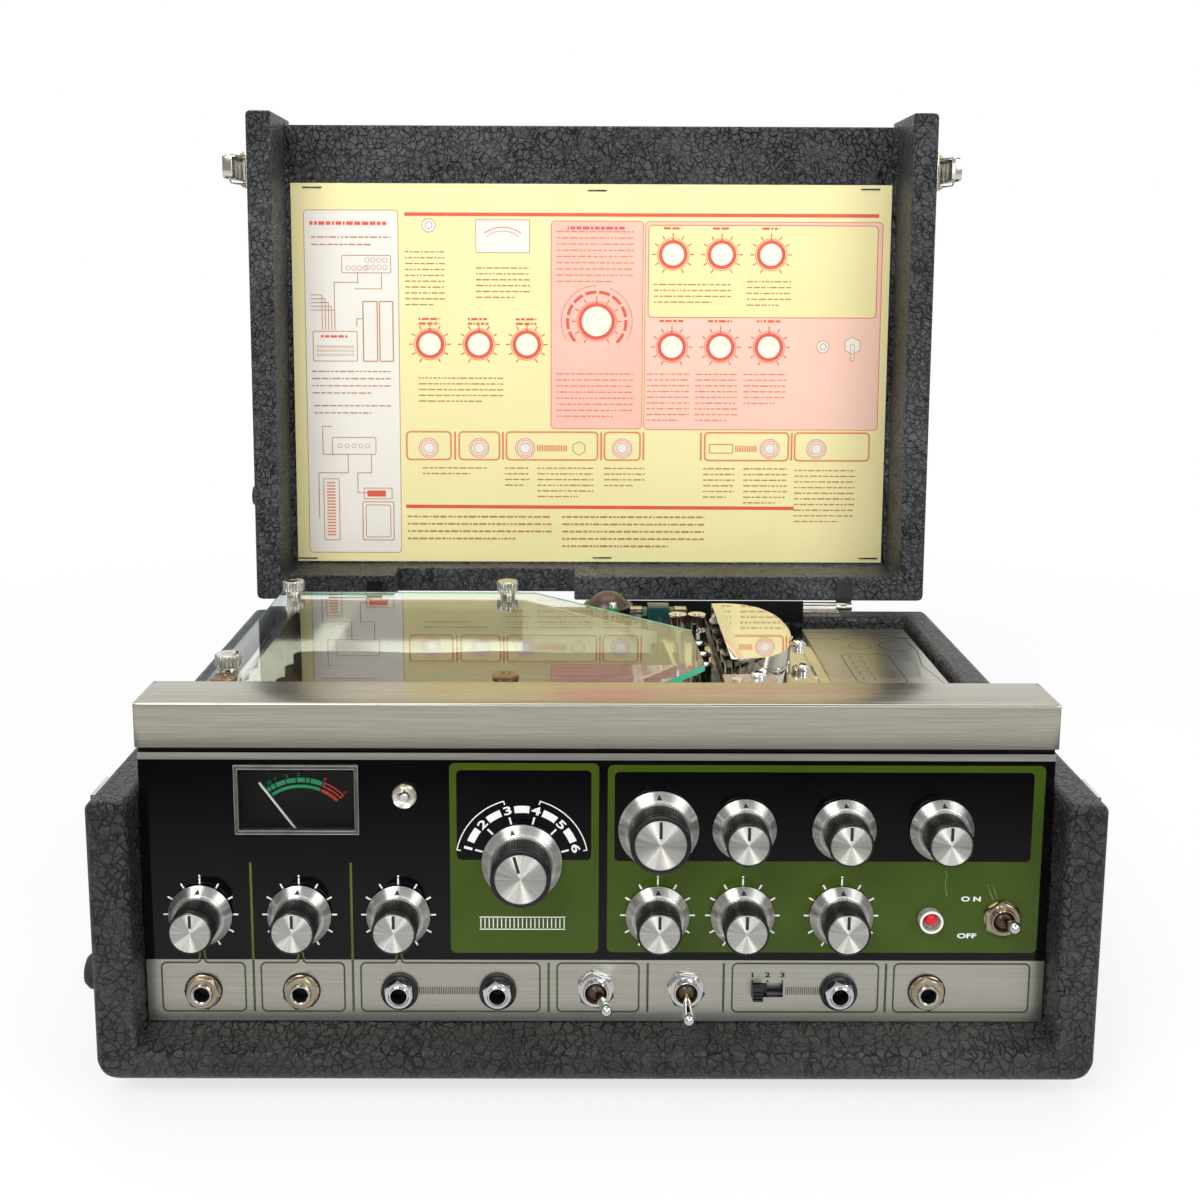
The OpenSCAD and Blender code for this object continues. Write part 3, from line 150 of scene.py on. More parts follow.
def coords(tree, scale=(1, 1, 1), kind="Object"):
    return new_node(tree, "Mapping", new_node(tree, "TexCoord").outputs[kind], Scale=scale).outputs["Vector"]


def noise(tree, vec, scale, detail=4, rough=0.55, distortion=0.0):
    n = new_node(tree, "TexNoise", vec, Scale=scale, Detail=detail, Roughness=rough, Distortion=distortion)
    return n.outputs["Fac"]


def spread(tree, value, lo, hi, from_lo=0.3, from_hi=0.7):
    n = new_node(tree, "MapRange", From_Min=from_lo, From_Max=from_hi, To_Min=lo, To_Max=hi)
    link(tree, value, n.inputs["Value"])
    return n.outputs["Result"]


def tint(tree, value, dark, light, lo=0.3, hi=0.7):
    ramp = new_node(tree, "ValToRGB")
    for element, color, place in zip(ramp.color_ramp.elements, (dark, light), (lo, hi)):
        element.position = place
        element.color = (*color, 1)
    link(tree, value, ramp.inputs["Fac"])
    return ramp.outputs["Color"]


def bump(tree, value, strength, distance):
    b = new_node(tree, "Bump", Strength=strength, Distance=distance)
    link(tree, value, b.inputs["Height"])
    return b.outputs["Normal"]


def calc(tree, op, a, b=0):
    n = new_node(tree, "Math", operation=op)
    for socket, v in zip(n.inputs, (a, b)):
        if isinstance(v, (int, float)):
            socket.default_value = v
        else:
            link(tree, v, socket)
    return n.outputs[0]


def plus(tree, a, b):
    return calc(tree, "ADD", a, b)


def times(tree, a, b):
    return calc(tree, "MULTIPLY", a, b)


def grained(name, dark, light, rough, scale, bumps, depth=0.0002, metallic=0.0, specular=0.5):
    """A surface whose colour, gloss and relief vary with noise."""
    m, t, s = nodes_of(name)
    vec = coords(t)
    link(t, tint(t, noise(t, vec, scale, 5), dark, light), s.inputs["Base Color"])
    link(t, spread(t, noise(t, vec, scale * 0.37, 3), *rough), s.inputs["Roughness"])
    link(t, bump(t, noise(t, vec, scale * 6, 3), bumps, depth), s.inputs["Normal"])
    s.inputs["Metallic"].default_value = metallic
    s.inputs["Specular IOR Level"].default_value = specular
    return m


def brushed(name, dark, light, rough=(0.26, 0.36)):
    """Metal with fine parallel lines along X."""
    m, t, s = nodes_of(name)
    vec = coords(t, (0.01, 1, 1))
    lines = noise(t, vec, 2400, 4, 0.7)
    wide = noise(t, vec, 360, 3, 0.6)
    both = plus(t, times(t, lines, 0.72), times(t, wide, 0.28))
    link(t, tint(t, both, dark, light, 0.38, 0.62), s.inputs["Base Color"])
    link(t, spread(t, wide, *rough), s.inputs["Roughness"])
    link(t, bump(t, lines, 0.35, 0.00003), s.inputs["Normal"])
    s.inputs["Metallic"].default_value = 1.0
    s.inputs["Anisotropic"].default_value = 0.55
    return m


def spun(name, dark, light, rough, painted_glint_share):
    """Metal turned on a lathe about the piece's own Z: fine rings that throw radial glints, and a colour
    lighter and darker by sector round the axis, a painted glint in the share given.
    """
    m, t, s = nodes_of(name)
    x, y = new_node(t, "SeparateXYZ", coords(t)).outputs[:2]
    radius = calc(t, "SQRT", plus(t, calc(t, "POWER", x, 2), calc(t, "POWER", y, 2)))
    turns = []
    for w, scale, detail in ((radius, 2600, 4), (calc(t, "ARCTAN2", y, x), 5, 2)):
        n = new_node(t, "TexNoise", noise_dimensions="1D", Scale=scale, Detail=detail)
        link(t, w, n.inputs["W"])
        turns.append(n.outputs["Fac"])
    rings, painted_glint_sweep = turns
    # the colour mixes the rings with sectors lighter and darker by angle round the axis: painted glint
    both = plus(t, times(t, rings, 1 - painted_glint_share), times(t, painted_glint_sweep, painted_glint_share))
    link(t, tint(t, both, dark, light, 0.4, 0.6), s.inputs["Base Color"])
    link(t, spread(t, rings, rough - 0.03, rough + 0.03), s.inputs["Roughness"])
    link(t, bump(t, rings, 0.3, 0.00002), s.inputs["Normal"])
    link(t, new_node(t, "Tangent", direction_type="RADIAL", axis="Z").outputs[0], s.inputs["Tangent"])
    for key, value in (("Metallic", 1), ("Anisotropic", 1.0), ("Anisotropic Rotation", 0.25)):
        s.inputs[key].default_value = value
    return m


def glassy(name, color, rough, transmission=1.0, alpha=1.0):
    m, t, s = nodes_of(name)
    vec = coords(t)
    link(t, spread(t, noise(t, vec, 30, 2), rough, rough + 0.015), s.inputs["Roughness"])
    link(t, tint(t, noise(t, vec, 12, 2), tuple(c * 0.97 for c in color), color), s.inputs["Base Color"])
    for key, value in (("IOR", 1.45), ("Transmission Weight", transmission), ("Alpha", alpha)):
        s.inputs[key].default_value = value
    return m


def vinyl(name, cell, dark, pale, ridges, relief):
    """Black leathercloth: low pebbles, creases that fade in and out, and fine raised wrinkles; the colour
    follows the relief, lighter on raised pebbles and wrinkle crests (painted highlight) and darker in the
    creases (painted shade).
    """
    m, t, s = nodes_of(name)
    vec = coords(t)
    warp = new_node(t, "TexNoise", vec, Scale=120, Detail=4)
    warped = new_node(t, "VectorMath", warp.outputs["Color"], operation="MULTIPLY_ADD")
    warped.inputs[1].default_value = (0.009, 0.009, 0.009)
    link(t, vec, warped.inputs[2])
    warped = warped.outputs[0]
    cells = new_node(t, "TexVoronoi", warped, feature="DISTANCE_TO_EDGE", Scale=1000 / cell)
    fade = spread(t, noise(t, vec, 70, 3), 0.35, 1, 0.38, 0.55)
    crease = times(t, spread(t, cells.outputs["Distance"], 1, 0, 0.0, 0.10), fade)
    broad = noise(t, vec, 260, 5, 0.62, 0.6)
    swirl = noise(t, warped, 120, 3, 0.6, 1.2)
    line = spread(t, calc(t, "ABSOLUTE", calc(t, "SUBTRACT", swirl, 0.5)), 1, 0, 0.0, 0.028)
    line = times(t, line, spread(t, noise(t, vec, 45, 3), 0, 1, 0.44, 0.6))
    height = calc(t, "SUBTRACT", times(t, broad, 0.6), times(t, crease, 0.9))
    height = plus(t, height, times(t, line, 0.5 * ridges))
    height = plus(t, height, times(t, noise(t, vec, 1700, 3), 0.22))
    # colour: random tone, lighter where the pebbles rise and along the wrinkle crests (painted highlight),
    # darker in the creases (painted shade)
    tone_with_painted_relief = times(t, plus(t, broad, noise(t, vec, 11, 4)), 0.5)
    tone_with_painted_relief = calc(t, "SUBTRACT", tone_with_painted_relief, times(t, crease, 0.13))
    tone_with_painted_relief = plus(t, tone_with_painted_relief, times(t, line, 0.3 * ridges))
    link(t, tint(t, tone_with_painted_relief, dark, pale, 0.36, 0.78), s.inputs["Base Color"])
    link(t, spread(t, broad, 0.24, 0.42), s.inputs["Roughness"])
    link(t, bump(t, height, 1.0, relief), s.inputs["Normal"])
    s.inputs["Specular IOR Level"].default_value = 0.45
    return m


def leather(name):
    """Padded handle: fine pored grain with soft wrinkles across it."""
    m, t, s = nodes_of(name)
    vec = coords(t, (1, 3.0, 1))
    pores = new_node(t, "TexVoronoi", vec, Scale=900)
    folds = noise(t, vec, 45, 4, 0.6, 0.5)
    height = plus(t, times(t, pores.outputs["Distance"], 0.35), folds)
    link(t, tint(t, folds, (0.010, 0.010, 0.011), (0.030, 0.030, 0.031)), s.inputs["Base Color"])
    link(t, spread(t, folds, 0.34, 0.5), s.inputs["Roughness"])
    link(t, bump(t, height, 0.6, 0.0006), s.inputs["Normal"])
    return m


M = {
    "vinyl": vinyl("vinyl", 4.2, (0.006, 0.007, 0.007), (0.070, 0.070, 0.068), 0.8, 0.0016),
    # the lid's vinyl is a lighter copy of the tub's: painted light, as the lid catches more light than the
    # tub's front faces
    "vinyl_lid": vinyl("vinyl_lid", 3.9, (0.010, 0.011, 0.013), (0.150, 0.155, 0.163), 1.1, 0.0024),
    "strap": leather("strap"),
    "steel": brushed("steel", (0.42, 0.42, 0.42), (0.55, 0.55, 0.54), (0.24, 0.34)),
    "bar": brushed("bar", (0.37, 0.35, 0.29), (0.50, 0.475, 0.405), (0.2, 0.27)),
    "strip": brushed("strip", (0.54, 0.525, 0.46), (0.66, 0.645, 0.57), (0.28, 0.36)),
    "edge": brushed("edge", (0.44, 0.43, 0.38), (0.56, 0.55, 0.49)),
    # the last number of cap and skirt is the share of painted glint sectors in their colour
    "cap": spun("cap", (0.76, 0.75, 0.69), (0.97, 0.96, 0.90), 0.42, 0.6),
    "skirt": spun("skirt", (0.66, 0.65, 0.61), (0.90, 0.89, 0.84), 0.34, 0.3),
    "clear": glassy("clear", (0.96, 0.98, 0.98), 0.02),
    "pane": glassy("pane", (0.02, 0.02, 0.02), 0.03, 0.0, alpha=0.1),
    "red_lens": glassy("red_lens", (0.66, 0.012, 0.018), 0.04, 0.1),
    "glass": glassy("glass", (0.95, 1.0, 0.98), 0.0),
    "glass_edge": glassy("glass_edge", (0.10, 0.78, 0.44), 0.2, 0.15),
    "teal": glassy("teal", (0.012, 0.055, 0.055), 0.05, 0.1),
}


def surfaces(rows, **same):
    """Grained materials, from their darkest and lightest colour, gloss, grain size and relief."""
    for name, row in rows.items():
        M[name] = grained(name, *row, **same)


surfaces({
    "nickel": ((0.58, 0.55, 0.50), (0.76, 0.73, 0.68), (0.1, 0.22), 60, 0.04),
    "nickel_dull": ((0.42, 0.40, 0.36), (0.60, 0.58, 0.53), (0.2, 0.34), 90, 0.06),
    "jack_metal": ((0.36, 0.29, 0.20), (0.62, 0.54, 0.41), (0.14, 0.3), 120, 0.06),
    "chrome": ((0.74, 0.74, 0.74), (0.86, 0.86, 0.86), (0.04, 0.10), 60, 0.02),
    "brass": ((0.50, 0.37, 0.17), (0.68, 0.53, 0.29), (0.18, 0.3), 90, 0.05),
    "bronze": ((0.16, 0.10, 0.05), (0.28, 0.19, 0.11), (0.2, 0.34), 120, 0.08),
    "dark_steel": ((0.05, 0.05, 0.05), (0.10, 0.10, 0.10), (0.25, 0.4), 120, 0.05),
    "deck": ((0.56, 0.54, 0.49), (0.68, 0.66, 0.60), (0.04, 0.12), 20, 0.03),
    "mirror": ((0.82, 0.80, 0.74), (0.90, 0.88, 0.82), (0.01, 0.04), 20, 0.02),
    "tank": ((0.60, 0.59, 0.52), (0.74, 0.73, 0.66), (0.05, 0.12), 24, 0.04),
    "tape_head": ((0.45, 0.45, 0.46), (0.62, 0.62, 0.63), (0.1, 0.25), 60, 0.03),
}, metallic=1.0)
surfaces({
    "thread": ((0.02, 0.02, 0.02), (0.05, 0.05, 0.05), (0.6, 0.8), 900, 0.3),
    "rubber": ((0.010, 0.010, 0.010), (0.022, 0.022, 0.022), (0.5, 0.7), 90, 0.2),
    "plastic": ((0.010, 0.010, 0.011), (0.02, 0.02, 0.021), (0.3, 0.42), 120, 0.08),
    "gloss_black": ((0.006, 0.006, 0.007), (0.012, 0.012, 0.013), (0.12, 0.2), 120, 0.03),
    "line_dark": ((0.035, 0.045, 0.012), (0.055, 0.065, 0.02), (0.3, 0.4), 60, 0.02),
    "white": ((0.74, 0.74, 0.71), (0.80, 0.80, 0.77), (0.25, 0.35), 200, 0.02),
    "scratch": ((0.20, 0.24, 0.14), (0.34, 0.38, 0.26), (0.4, 0.5), 300, 0.02),
    "ink": ((0.01, 0.01, 0.012), (0.016, 0.016, 0.018), (0.3, 0.4), 200, 0.02),
    "grip": ((0.008, 0.008, 0.008), (0.016, 0.016, 0.016), (0.30, 0.42), 200, 0.1),
    "meter_green": ((0.0, 0.30, 0.10), (0.01, 0.38, 0.14), (0.4, 0.5), 80, 0.02),
    "meter_red": ((0.5, 0.03, 0.01), (0.62, 0.05, 0.02), (0.4, 0.5), 80, 0.02),
    "needle": ((0.8, 0.8, 0.78), (0.88, 0.88, 0.86), (0.4, 0.5), 80, 0.02),
    "frame_clear": ((0.035, 0.035, 0.028), (0.085, 0.085, 0.070), (0.08, 0.16), 90, 0.04),
    "frame_line": ((0.34, 0.34, 0.28), (0.50, 0.50, 0.43), (0.2, 0.3), 90, 0.04),
    "frost": ((0.70, 0.70, 0.66), (0.80, 0.80, 0.76), (0.2, 0.34), 90, 0.04),
    "tube": ((0.20, 0.17, 0.13), (0.50, 0.46, 0.40), (0.08, 0.2), 500, 0.1),
    "tape": ((0.06, 0.028, 0.016), (0.09, 0.045, 0.028), (0.15, 0.25), 60, 0.02),
    "motor": ((0.03, 0.03, 0.032), (0.05, 0.05, 0.052), (0.35, 0.5), 60, 0.1),
    "board": ((0.02, 0.09, 0.03), (0.03, 0.12, 0.05), (0.3, 0.45), 60, 0.1),
    "core": ((0.04, 0.038, 0.035), (0.08, 0.075, 0.07), (0.4, 0.6), 60, 0.2),
    "brown": ((0.045, 0.026, 0.016), (0.075, 0.046, 0.028), (0.26, 0.4), 80, 0.05),
    "green_bit": ((0.02, 0.16, 0.06), (0.03, 0.22, 0.09), (0.35, 0.5), 120, 0.1),
})
surfaces({
    "panel": ((0.0010, 0.0010, 0.0016), (0.0020, 0.0020, 0.0026)),
    "green": ((0.038, 0.066, 0.005), (0.046, 0.076, 0.007)),
}, rough=(0.05, 0.09), scale=30, bumps=0.02, depth=0.00003, specular=0.30)
surfaces({
    "line_green": ((0.075, 0.105, 0.018), (0.09, 0.125, 0.025), (0.2, 0.3), 60, 0.02),
    "dark": ((0.002, 0.002, 0.002), (0.004, 0.004, 0.004), (0.6, 0.8), 80, 0.1),
    "meter_face": ((0.0035, 0.0035, 0.0032), (0.007, 0.007, 0.006), (0.4, 0.5), 80, 0.02),
}, specular=0.2)
# near-black and barely glossy: painted shadow for the strip at the tub's rear rim
surfaces({"flap": ((0.003, 0.003, 0.003), (0.008, 0.008, 0.008), (0.8, 0.9), 500, 0.3)}, specular=0.1)
surfaces({
    "card": ((0.86, 0.77, 0.38), (0.91, 0.82, 0.42)),
    "card_field": ((0.85, 0.75, 0.36), (0.90, 0.80, 0.40)),
    "card_pink": ((0.88, 0.49, 0.39), (0.93, 0.54, 0.43)),
    "card_pink2": ((0.90, 0.56, 0.44), (0.94, 0.60, 0.48)),
    "card_white": ((0.82, 0.77, 0.69), (0.86, 0.81, 0.73)),
    "card_cream": ((0.88, 0.84, 0.66), (0.92, 0.88, 0.72)),
}, rough=(0.3, 0.42), scale=14, bumps=0.03)
surfaces({
    "card_red": ((0.72, 0.09, 0.045), (0.80, 0.115, 0.06)),
    "card_red_soft": ((0.72, 0.20, 0.10), (0.82, 0.26, 0.14)),
    "card_orange": ((0.72, 0.22, 0.08), (0.80, 0.27, 0.11)),
    "print_soft": ((0.42, 0.19, 0.06), (0.56, 0.28, 0.10)),
}, rough=(0.35, 0.5), scale=60, bumps=0.02, depth=0.0001)

# ---------------------------------------------------------------- mesh building


def circle(r, n, z):
    return [(r * cos(TAU * k / n), r * sin(TAU * k / n), z) for k in range(n)]


def walls(rings, n, closed=False):
    """Faces between rings of n points each; closed joins the last ring to the first."""
    return [(i * n + k, i * n + (k + 1) % n, (i + 1) % rings * n + (k + 1) % n, (i + 1) % rings * n + k)
            for i in range(rings if closed else rings - 1) for k in range(n)]


def ends(rings, n):
    return [tuple(range(n - 1, -1, -1)), tuple((rings - 1) * n + k for k in range(n))]


class Shape:
    """A mesh piece that is put together in millimetres, in one local frame."""

    def __init__(self, name, place, body="case", slot=None):
        self.name, self.place, self.body, self.slot = name, place, body, slot
        self.bm = bmesh.new()
        self.used = []

    def paint(self, faces, mat):
        if mat not in self.used:
            self.used.append(mat)
        for f in faces:
            f.material_index = self.used.index(mat)

    def add(self, verts, faces, mat, at=None):
        at = at or Matrix.Identity(4)
        vs = [self.bm.verts.new(at @ Vector(v)) for v in verts]
        made = [self.bm.faces.new([vs[k] for k in f]) for f in faces]
        self.paint(made, mat)
        return made

    def bevel(self, faces, width, segments=2):
        edges = list(dict.fromkeys(e for f in faces for e in f.edges))
        bmesh.ops.bevel(self.bm, geom=edges, offset=width, segments=segments, affect="EDGES", profile=0.5)

    def block(self, x0, x1, y0, y1, z0, z1, mat, at=None, bevel=0):
        verts = [(x, y, z) for z in (z0, z1) for y in (y0, y1) for x in (x0, x1)]
        faces = [(0, 2, 3, 1), (4, 5, 7, 6), (0, 1, 5, 4), (1, 3, 7, 5), (3, 2, 6, 7), (2, 0, 4, 6)]
        made = self.add(verts, faces, mat, at)
        if bevel:
            self.bevel(made, bevel)

    def lathe(self, profile, mat, at=None, n=48, mats=None):
        """A profile of (radius, height) turned about Z. mats names a material for each band."""
        verts, rows = [], []
        for r, z in profile:
            points = circle(r, n, z) if r > 1e-6 else [(0, 0, z)]
            rows.append([len(verts) + k for k in range(len(points))])
            verts += points
        faces, names = [], []
        for j, (a, b) in enumerate(zip(rows, rows[1:])):
            for k in range(n):
                k2 = (k + 1) % n
                if len(a) == 1:
                    faces.append((a[0], b[k2], b[k]))
                elif len(b) == 1:
                    faces.append((a[k], a[k2], b[0]))
                else:
                    faces.append((a[k], a[k2], b[k2], b[k]))
                names.append(mats[j] if mats else mat)
        for f, name in zip(self.add(verts, faces, mat, at), names):
            self.paint([f], name)

    def nut(self, size, bore, z0, z1, mat, at, turn):
        """A hexagonal nut of corner radius size with a round hole, its corners cut away on top."""
        n, flat = 72, size * cos(pi / 6)
        rim = flat * 0.97
        rows = [[], [], [], [], []]
        for k in range(n):
            a = TAU * k / n
            r = flat / cos((a + pi / 6) % (pi / 3) - pi / 6)
            section = ((r, z0), (r, z1 - (r - rim) * 0.6), (rim, z1), (bore, z1), (bore, z0))
            for row, (rad, z) in zip(rows, section):
                row.append((rad * cos(a), rad * sin(a), z))
        self.add(sum(rows, []), walls(5, n, closed=True), mat, at @ spin(turn, "Z"))

    def toothed(self, r, n, rows, tooth, mat, at=None, capped=False):
        """A round piece with teeth; rows are (height, change of radius, share of the teeth's depth)."""
        verts = []
        for z, grow, share in rows:
            for k in range(n):
                rad = r + grow - tooth(k) * share
                verts.append((rad * cos(TAU * k / n), rad * sin(TAU * k / n), z))
        faces = walls(len(rows), n) + (ends(len(rows), n) if capped else [])
        self.add(verts, faces, mat, at)

    def tube(self, path, r, mat, at=None, n=10, closed=False):
        """A round bar along a line of points."""
        pts = [Vector(p) for p in path]
        verts, m = [], len(pts)
        for i, p in enumerate(pts):
            a = pts[(i - 1) % m] if closed or i else p
            b = pts[(i + 1) % m] if closed or i < m - 1 else p
            d = (b - a).normalized()
            side = d.cross(Vector((0, 0, 1)))
            if side.length < 1e-3:
                side = d.cross(Vector((0, 1, 0)))
            side.normalize()
            top = side.cross(d).normalized()
            verts += [tuple(p + r * (cos(TAU * k / n) * side + sin(TAU * k / n) * top)) for k in range(n)]
        self.add(verts, walls(m, n, closed) + ([] if closed else ends(m, n)), mat, at)

    def ink(self, outline, mat, z=0.0):
        """A flat printed patch."""
        self.add([(x, y, z) for x, y in outline], [tuple(range(len(outline)))], mat)

    def stroke(self, path, w, mat, z=0.0, closed=False):
        """A printed line of width w along flat points, with mitred turns."""
        pts = [Vector((p[0], p[1])) for p in path]
        m = len(pts)
        left, right = [], []
        for i, p in enumerate(pts):
            a = pts[(i - 1) % m] if closed or i else None
            b = pts[(i + 1) % m] if closed or i < m - 1 else None
            d1 = (p - a).normalized() if a is not None else (b - p).normalized()
            d2 = (b - p).normalized() if b is not None else d1
            t = d1 + d2
            t = t.normalized() if t.length > 1e-6 else d1
            nrm = Vector((-t.y, t.x))
            k = w / 2 / max(0.35, nrm.dot(Vector((-d1.y, d1.x))))
            left.append(p + nrm * k)
            right.append(p - nrm * k)
        faces = [(i, m + i, m + (i + 1) % m, (i + 1) % m) for i in range(m if closed else m - 1)]
        self.add([(v.x, v.y, z) for v in left + right], faces, mat)

    def letters(self, text, x, y, size, mat, z, at=None, wide=1.0, bold=0.0):
        """Printed lettering, centred on x, y."""
        curve = bpy.data.curves.new("letters", "FONT")
        curve.body, curve.size, curve.offset = text, size, bold
        curve.align_x, curve.align_y = "CENTER", "CENTER"
        obj = bpy.data.objects.new("letters", curve)
        bpy.context.scene.collection.objects.link(obj)
        mesh = evaluated(obj)
        verts = [(x + v.co.x * wide, y + v.co.y, z) for v in mesh.vertices]
        self.add(verts, [tuple(p.vertices) for p in mesh.polygons], mat, at)
        bpy.data.objects.remove(obj)
        bpy.data.curves.remove(curve)
        bpy.data.meshes.remove(mesh)

    def done(self, *replaces, smooth=35, weld=False):
        """Turns the shape into an object that rides on its body, in place of the nodes named."""
        if weld:
            bmesh.ops.remove_doubles(self.bm, verts=self.bm.verts, dist=1e-5)
        bmesh.ops.recalc_face_normals(self.bm, faces=self.bm.faces)
        self.bm.transform(Matrix.Scale(self.place.to_scale().x, 4))
        mesh = bpy.data.meshes.new(self.name)
        self.bm.to_mesh(mesh)
        self.bm.free()
        for key in self.used:
            mesh.materials.append(M[key])
        mesh.shade_smooth()
        mesh.set_sharp_from_angle(angle=radians(smooth))
        obj = bpy.data.objects.new(self.name, mesh)
        bpy.context.scene.collection.objects.link(obj)
        obj.matrix_world = Matrix.LocRotScale(self.place.to_translation(), self.place.to_quaternion(), None)
        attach(obj, self.body)
        if replaces:
            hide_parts(*replaces)
        return obj


def evaluated(obj):
    bpy.context.view_layer.update()
    return bpy.data.meshes.new_from_object(obj.evaluated_get(bpy.context.evaluated_depsgraph_get()))


def ring(r, n=32, a0=0, a1=360, cx=0, cy=0):
    """Points on a circle or arc, in degrees, counter-clockwise from +X."""
    count = n if abs(a1 - a0) >= 360 else n + 1
    turns = [radians(a0 + (a1 - a0) * k / n) for k in range(count)]
    return [(cx + r * cos(a), cy + r * sin(a)) for a in turns]


def round_box(x0, x1, y0, y1, r, n=6):
    """Outline of a rectangle with round corners."""
    corners = ((-90, x1 - r, y0 + r), (0, x1 - r, y1 - r), (90, x0 + r, y1 - r), (180, x0 + r, y0 + r))
    return [p for a, cx, cy in corners for p in ring(r, n, a, a + 90, cx, cy)]


def sector(r0, r1, a0, a1, n, x, y):
    """Outline of a piece of a ring, between two headings."""
    return ring(r1, n, 90 - a0, 90 - a1, x, y) + ring(r0, n, 90 - a1, 90 - a0, x, y)


def arc(r, angles, up=0, flat=1):
    """Part of a lathe profile: an arc about a point on the axis."""
    return [(r * cos(radians(a)), up + flat * r * sin(radians(a))) for a in angles]


def tick(shape, x, y, angle, r0, r1, w, mat, z):
    """A printed line that points away from (x, y)."""
    shape.stroke([Vector((x, y)) + heading(angle) * r for r in (r0, r1)], w, mat, z)


def along_x(shape, section, x0, x1, mat):
    """A closed section in (y, z) carried from x0 to x1."""
    n = len(section)
    verts = [(x, y, z) for x in (x0, x1) for y, z in section]
    faces = [tuple(range(n)), tuple(range(2 * n - 1, n - 1, -1))]
    faces += [(k, n + k, n + (k + 1) % n, (k + 1) % n) for k in range(n)]
    return shape.add(verts, faces, mat)


# ---------------------------------------------------------------- the covered case

SIDE = CASE_W / 2
NEAR, LONG, TALL, LID_TALL = 0.1, 200, 80, 40


def covered(name, mat, z0, z1, cuts, place, body, node, big, rounding):
    """A vinyl-covered box less its cuts, its edges rounded by what rounding gives, at most by big."""
    outer = Shape(name, place, body, "vinyl_cover")
    outer.block(-SIDE, SIDE, 0, CASE_D, z0, z1, mat)
    obj = outer.done(node, smooth=30)
    for cut in cuts:
        tool = cut.done()
        mod = obj.modifiers.new("cut", "BOOLEAN")
        mod.operation, mod.solver, mod.object = "DIFFERENCE", "EXACT", tool
        mesh = evaluated(obj)
        obj.modifiers.remove(mod)
        obj.data = mesh
        bpy.data.objects.remove(tool)
    obj.data.attributes.new("bevel_weight_edge", "FLOAT", "EDGE")
    bm = bmesh.new()
    bm.from_mesh(obj.data)
    bmesh.ops.dissolve_limit(bm, angle_limit=radians(1), verts=bm.verts, edges=bm.edges)
    layer = bm.edges.layers.float.get("bevel_weight_edge") or bm.edges.layers.float.new("bevel_weight_edge")
    for e in bm.edges:
        if len(e.link_faces) == 2 and e.calc_face_angle(0) > radians(5):
            e[layer] = rounding(*(v.co / MM for v in e.verts)) / big
    bm.to_mesh(obj.data)
    bm.free()
    mod = obj.modifiers.new("round", "BEVEL")
    mod.limit_method, mod.width, mod.segments = "WEIGHT", big * MM, 6
    obj.data.shade_smooth()
    obj.data.set_sharp_from_angle(angle=radians(60))


WALL, FLOOR_T = 17, 12
LIP_H, LIP_BACK_H, LIP_BACK_Y, SEAT_Y = 15, 19.7, 15.7, 20
INNER = SIDE - WALL


def tub_rounding(a, b):
    low = max(a.z, b.z) < FOOT_H + NEAR
    if low and abs(a.y - b.y) > LONG:
        return 12
    if max(abs(a.x), abs(b.x)) < INNER + NEAR and max(a.z, b.z) < RIM_Z - NEAR:
        return 1.2
    if low and max(a.y, b.y) < 1 or abs(a.z - b.z) > TALL and min(a.y, b.y) > CASE_D - 1:
        return 8
    return 3 if low else 3.2


room = Shape("tub_room", CASE)
along_x(room, [(-1, FOOT_H + LIP_H), (0, FOOT_H + LIP_H), (LIP_BACK_Y, FOOT_H + LIP_BACK_H),
               (SEAT_Y, FOOT_H + LIP_BACK_H), (SEAT_Y, FOOT_H + FLOOR_T), (CASE_D - WALL, FOOT_H + FLOOR_T),
               (CASE_D - WALL, RIM_Z + 1), (-1, RIM_Z + 1)], -INNER, INNER, "vinyl")
covered("tub", "vinyl", FOOT_H, RIM_Z, [room], CASE, "case", "tub_shell", 12, tub_rounding)

LID_GAP, LID_H, LID_WALL, LID_TOP_T, LID_BACK = 2, 56, 15, 15.5, 4
LID_Z = RIM_Z + LID_GAP
LID_TOP, LID_IN = LID_Z + LID_H, LID_Z + LID_H - LID_TOP_T
NOTCH_X, NOTCH_W, NOTCH_H = -66, 112, 23


def lid_rounding(a, b):
    outside = min(abs(a.x), abs(b.x)) > SIDE - 1
    if min(a.z, b.z) > LID_TOP - NEAR:
        return 8 if outside and abs(a.y - b.y) > LONG else 4
    if outside and abs(a.z - b.z) > LID_TALL:
        if min(a.y, b.y) > CASE_D - 1:
            return 8
        if max(a.y, b.y) < 1:
            return 6
    return 2.6


room = Shape("lid_room", LID, "lid")
along_x(room, [(-1, LID_Z - 1), (CASE_D - LID_WALL, LID_Z - 1), (CASE_D - LID_WALL, LID_IN),
               (LID_BACK, LID_IN), (LID_BACK, LID_TOP + 1), (-1, LID_TOP + 1)],
        -SIDE + LID_WALL, SIDE - LID_WALL, "vinyl_lid")
notch = Shape("lid_notch", LID, "lid")
notch.block(NOTCH_X - NOTCH_W / 2, NOTCH_X + NOTCH_W / 2, CASE_D - LID_WALL - 1, CASE_D + 1,
            LID_Z - 1, LID_Z + NOTCH_H, "vinyl_lid")
covered("lid", "vinyl_lid", LID_Z, LID_TOP, [room, notch], LID, "lid", "lid_shell", 8, lid_rounding)

# ---------------------------------------------------------------- looks of the CAD's own nodes

